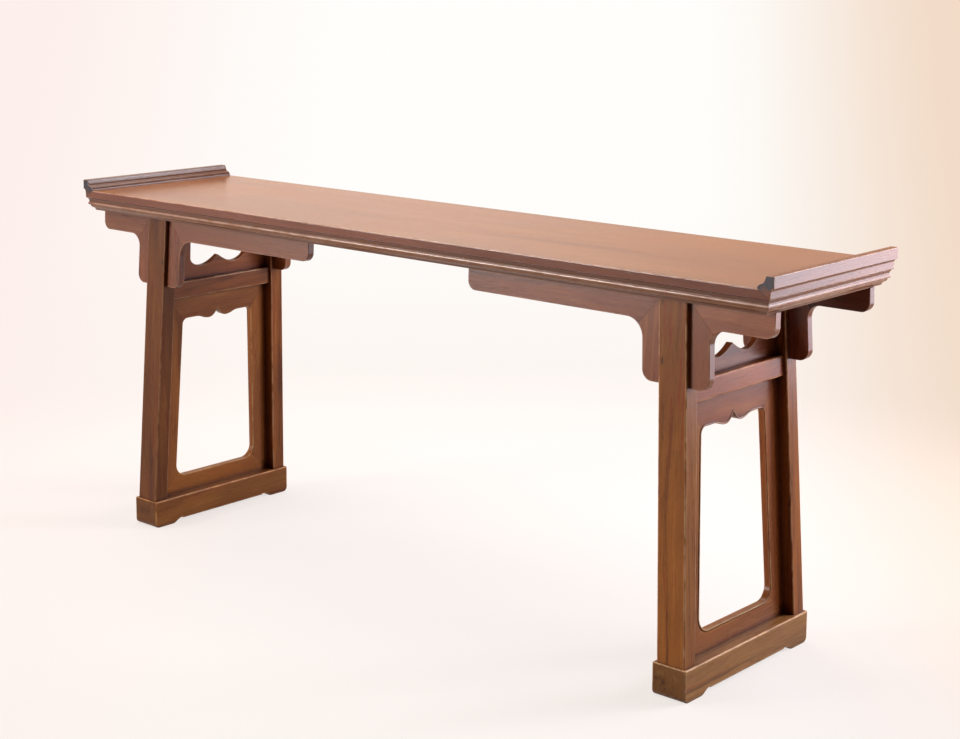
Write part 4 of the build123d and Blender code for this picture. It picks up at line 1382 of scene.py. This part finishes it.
class ALTAR_OT_frames(bpy.types.Operator):
    """Builds the cusped frames: two stiles, a head and a bottom rail, with a bead"""

    bl_idname = "altar.frames"
    bl_label = "Cusped frames"

    def execute(self, context):
        places = Places(context.scene)
        sizes = places.ends
        on = places.on_board
        foot = np.array(on(sizes.opening_foot, places.rail_top))
        head = np.array(on(sizes.opening_head, places.head_foot))
        shoulder = np.array(on(sizes.shoulder_y, places.head_foot))
        lobe = np.array(on(sizes.lobe_y, places.head_foot - sizes.lobe_drop))
        peak = np.array(on(0, places.head_foot + sizes.notch))
        middle = (shoulder + lobe) / 2
        side = np.array((lobe[0] * sizes.lobe_share, lobe[1] + sizes.lobe_rise))
        inwards = np.array((-1, 0))
        corners = rounded(
            [on(0, places.rail_top), foot, head, shoulder],
            [0, sizes.opening_corner, sizes.opening_corner, 0],
        )
        back = np.vstack(
            [
                corners,
                tangent_arc(shoulder, middle, inwards)[1:],
                tangent_arc(lobe, middle, -inwards)[::-1][1:],
                tangent_arc(lobe, side, inwards)[1:],
                tangent_arc(side, peak, arrival(lobe, side, inwards))[1:],
            ]
        )
        opening = mirrored(back)

        frame_foot = np.array(on(places.inner_y(places.foot_top), places.foot_top))
        frame_head = np.array(on(places.inner_y(places.stretcher_foot), places.stretcher_foot))
        foot_line, head_line = foot - frame_foot, head - frame_head
        far_foot, far_head = frame_foot * FLIP, frame_head * FLIP

        rear = cut(opening, (frame_foot, -foot_line), (frame_head, head_line))
        top = cut(opening, (frame_head, -head_line), (far_head, head_line * FLIP))
        bottom = cut(opening, (frame_foot, foot_line), (far_foot, -foot_line * FLIP))
        bead = self.bead_profile(sizes)
        joints = [
            (frame_foot, foot_line),
            (far_foot, foot_line * FLIP),
            (frame_head, head_line),
            (far_head, head_line * FLIP),
            (frame_foot, frame_head - frame_foot),
            (frame_foot, LEVEL),
            (frame_head, LEVEL),
        ]
        for label, run, outer, fours, grain in (
            ("frame_stile", rear, [frame_foot, frame_head], True, ALONG_Z),
            ("frame_head", top, [frame_head, far_head], False, ALONG_Y),
            ("frame_rail", bottom, [far_foot, frame_foot], False, ALONG_Y),
        ):
            outline = soften(np.vstack([outer, run[::-1]]), joints=joints)
            half = sizes.board / 2
            body = board(outline, -half, half, sizes.board_arris, joints)
            surface = placed(joined(body, moulding_along(run, bead)), places.board_place)
            make = make_four if fours else make_pair
            make(context.scene, label, surface, grain, "frame_wood")
        return {"FINISHED"}

    def bead_profile(self, sizes):
        """The bead and the dark strip beside it: out from the opening's edge, w off the board. The strip is
        a painted shadow line, the bead's flanks get painted shade and its crest gets wear and a painted
        highlight.

        At angle t across the bead of half width h, out = h (1 - cos t) and w rises with
        sin t to the power of 0.7, which makes it flatter than a half round.
        """
        face = sizes.board / 2
        proud, root = face + SHADOW_STRIP_PROUD, face - BEAD_ROOT
        turn = np.linspace(0, math.pi, 9)
        half = sizes.frame_bead / 2
        out = half - half * np.cos(turn)
        w = proud + (sizes.frame_bead_rise - SHADOW_STRIP_PROUD) * np.sin(turn) ** 0.7
        # painted shade on the bead's flanks, none on its crest; sin t in the third column is wear and a
        # painted highlight on the crest
        shade = SHADOW_STRIP_DARKNESS + (1 - SHADOW_STRIP_DARKNESS) * np.sin(turn)
        ring = np.column_stack([out, w, np.sin(turn), shade])
        strip = sizes.frame_bead + SHADOW_STRIP_WIDTH
        below = [
            (strip, proud, 0.0, SHADOW_STRIP_DARKNESS),
            (strip, root, 0.0, SHADOW_STRIP_DARKNESS),
            (SHADOW_STRIP_PROUD, root, 0.0, 1.0),
        ]
        return np.vstack([ring, below])


LAMPS = {
    # side in metres, colour, place and target
    "overhead": (3.0, (1.0, 0.97, 0.93), (-1.1, 0.2, 3.1), (-0.3, 0.0, 0.5)),
    "key": (2.4, (1.0, 0.95, 0.90), (-4.0, -5.6, 1.5), (0.3, 0.0, 0.5)),
    "rim": (0.7, (0.97, 0.95, 1.0), (2.7, 3.0, 2.6), (0.5, 0.0, 0.7)),
    "side": (1.9, (0.87, 0.86, 1.0), (2.0, 1.8, 1.06), (0.3, 0.0, 0.62)),
}
FLOOR_RADII = (1.5, 4.0, 9.0, 18.0, 60.0)
FLOOR_SIDES = 96
ACROSS = (0.75, 0.66, 0.0)  # level, from left to right of the first view
SIDE_REACH = 5.0  # the floor's side tints spread out with the distance plus this
FAR_FLOOR = (1.0, 0.990, 0.965)
SKY = (1.0, 0.97, 0.95)  # colour of the light from all round
DUSK = (0.830, 0.560, 0.430)  # the backdrop to the right
EYE = (2.6959, -2.9265, 1.4082)
YAW, PITCH, ROLL = 0.7228, -0.1464, 0.0047  # radians: to the left of +Y, up, and clockwise
SHIFT = -0.1557  # of the picture, in its widths
SENSOR_WIDTH = 36.0  # millimetres


class ALTAR_OT_stage(bpy.types.Operator):
    """Builds the floor, the light and the camera"""

    bl_idname = "altar.stage"
    bl_label = "Stage"

    def execute(self, context):
        scene = context.scene
        settings = scene.altar_table_stage
        self.floor(scene, settings)
        self.world(scene, settings)
        for name, (size, tint, place, target) in LAMPS.items():
            self.lamp(scene, f"{name}_lamp", getattr(settings, name), size, tint, place, target)
        self.camera(scene, settings)
        scene.view_settings.view_transform = "Standard"
        return {"FINISHED"}

    def floor(self, scene, settings):
        """A round floor: pale where it is seen, plain and darker where it lights the table."""
        turn = np.linspace(0, 2 * math.pi, FLOOR_SIDES + 1)[:-1]
        ring = np.stack([np.cos(turn), np.sin(turn), np.zeros_like(turn)], axis=1)
        points = (np.array(FLOOR_RADII)[:, None, None] * ring[None]).reshape(-1, 3)
        faces = [face[::-1] for face in strips(len(FLOOR_RADII), FLOOR_SIDES)[::-1]]
        faces += [list(range(FLOOR_SIDES))]
        mesh = bpy.data.meshes.new("floor")
        mesh.from_pydata(points.tolist(), [], faces)
        floor = bpy.data.objects.new("floor", mesh)
        scene.collection.objects.link(floor)
        mesh.materials.append(self.floor_material(settings))

    def floor_material(self, settings):
        """Peach to the right and rose to the left, with a share of real shade near the table.

        The share to one side is the place across the view over the distance plus a reach.
        """
        material = bpy.data.materials.new("floor")
        tree = cleared(material)
        place = add_node(tree, "ShaderNodeTexCoord").outputs["Object"]
        distance = vector_maths(tree, "LENGTH", place)
        across = vector_maths(tree, "DOT_PRODUCT", place, ACROSS)
        share = maths(tree, "DIVIDE", across, maths(tree, "ADD", distance, SIDE_REACH))
        far = ramp(tree, distance, 1.5, 6.5)
        tint = mixed(tree, far, opaque(settings.floor), opaque(FAR_FLOOR))
        tint = mixed(tree, ramp(tree, share, 0.11, 0.25), tint, opaque(settings.peach))
        tint = mixed(tree, ramp(tree, share, -0.06, -0.24), tint, opaque(settings.rose))
        shaded = add_node(tree, "ShaderNodeBsdfDiffuse", {"Color": tint})
        bright = add_node(tree, "ShaderNodeEmission", {"Color": tint, "Strength": 1.0})
        shadow = ramp(tree, distance, 1.4, 2.5, settings.shadow, 0.0)
        pale = either(tree, shadow, bright, shaded)
        plain = add_node(tree, "ShaderNodeBsdfDiffuse", {"Color": opaque(settings.bounce)})
        both = either(tree, self.seen(tree), plain, pale)
        add_node(tree, "ShaderNodeOutputMaterial", {"Surface": both.outputs[0]})
        return material

    def seen(self, tree):
        """One for rays from the camera, off gloss or through glass, and nought for the rest."""
        path = add_node(tree, "ShaderNodeLightPath")
        seen = path.outputs["Is Camera Ray"]
        for name in ("Is Glossy Ray", "Is Transmission Ray"):
            seen = maths(tree, "MAXIMUM", seen, path.outputs[name])
        return seen

    def world(self, scene, settings):
        """Even light from all round; the camera and glossy rays see the backdrop's colour."""
        world = bpy.data.worlds.new("backdrop")
        scene.world = world
        tree = cleared(world)
        sky = {"Color": opaque(SKY), "Strength": settings.fill}
        light = add_node(tree, "ShaderNodeBackground", sky)
        way = add_node(tree, "ShaderNodeTexCoord").outputs["Generated"]
        to_right = ramp(tree, vector_maths(tree, "DOT_PRODUCT", way, ACROSS), -0.05, 0.20)
        tint = mixed(tree, to_right, opaque(settings.backdrop), opaque(DUSK))
        shown = add_node(tree, "ShaderNodeBackground", {"Color": tint, "Strength": 1.0})
        both = either(tree, self.seen(tree), light, shown)
        add_node(tree, "ShaderNodeOutputWorld", {"Surface": both.outputs[0]})

    def lamp(self, scene, name, power, size, tint, place, target):
        """A square soft lamp at a place, facing a target."""
        light = bpy.data.lights.new(name, "AREA")
        light.energy, light.size, light.color = power, size, tint
        lamp = bpy.data.objects.new(name, light)
        scene.collection.objects.link(lamp)
        back = np.subtract(place, target)
        back /= np.linalg.norm(back)
        lamp.matrix_world = self.looking(place, back)
        lamp.visible_camera = False

    def looking(self, place, back, roll=0.0):
        """The matrix of something at a place whose +Z axis is the direction back."""
        right = np.cross((0, 0, 1), back)
        right /= np.linalg.norm(right)
        up = np.cross(back, right)
        matrix = np.identity(4)
        matrix[:3, 0] = math.cos(roll) * right + math.sin(roll) * up
        matrix[:3, 1] = math.cos(roll) * up - math.sin(roll) * right
        matrix[:3, 2] = back
        matrix[:3, 3] = place
        return Matrix(matrix.tolist())

    def camera(self, scene, settings):
        """A camera at standing height, looking down along the table from its right front."""
        lens = bpy.data.cameras.new("camera")
        lens.lens, lens.sensor_width = settings.lens, SENSOR_WIDTH
        lens.shift_y = SHIFT
        lens.clip_end = 200.0
        camera = bpy.data.objects.new("camera", lens)
        scene.collection.objects.link(camera)
        level = math.cos(PITCH)
        ahead = (-math.sin(YAW) * level, math.cos(YAW) * level, math.sin(PITCH))
        camera.matrix_world = self.looking(EYE, -np.array(ahead), ROLL)
        scene.camera = camera


class ALTAR_PT_panel(bpy.types.Panel):
    """Sizes, colours and pieces of the altar table"""

    bl_idname = "ALTAR_PT_panel"
    bl_label = "Altar table"
    bl_space_type = "VIEW_3D"
    bl_region_type = "UI"
    bl_category = "Altar table"

    def draw(self, context):
        layout = self.layout
        for operator in OPERATORS:
            layout.operator(operator.bl_idname)
        for name, group in GROUPS.items():
            box = layout.box()
            box.label(text=group.__name__)
            settings = getattr(context.scene, name)
            for key in group.__annotations__:
                box.prop(settings, key)


GROUPS = {
    "altar_table_top": TopSizes,
    "altar_table_brackets": BracketSizes,
    "altar_table_ends": EndSizes,
    "altar_table_colours": WoodColours,
    "altar_table_stage": StageSettings,
}
OPERATORS = (
    ALTAR_OT_plank,
    ALTAR_OT_clamps,
    ALTAR_OT_legs,
    ALTAR_OT_brackets,
    ALTAR_OT_feet,
    ALTAR_OT_stretchers,
    ALTAR_OT_frames,
    ALTAR_OT_stage,
)

CLASSES = (*GROUPS.values(), *OPERATORS, ALTAR_PT_panel)


def register():
    """Registers the classes, and gives each scene the groups of settings."""
    for each in CLASSES:
        bpy.utils.register_class(each)
    for name, group in GROUPS.items():
        setattr(bpy.types.Scene, name, bpy.props.PointerProperty(type=group))


def unregister():
    """Takes the settings and the classes away again, in the reverse order."""
    for name in GROUPS:
        delattr(bpy.types.Scene, name)
    for each in reversed(CLASSES):
        bpy.utils.unregister_class(each)


def main():
    register()
    for operator in OPERATORS:
        group, name = operator.bl_idname.split(".")
        getattr(getattr(bpy.ops, group), name)()


if __name__ == "__main__":
    main()
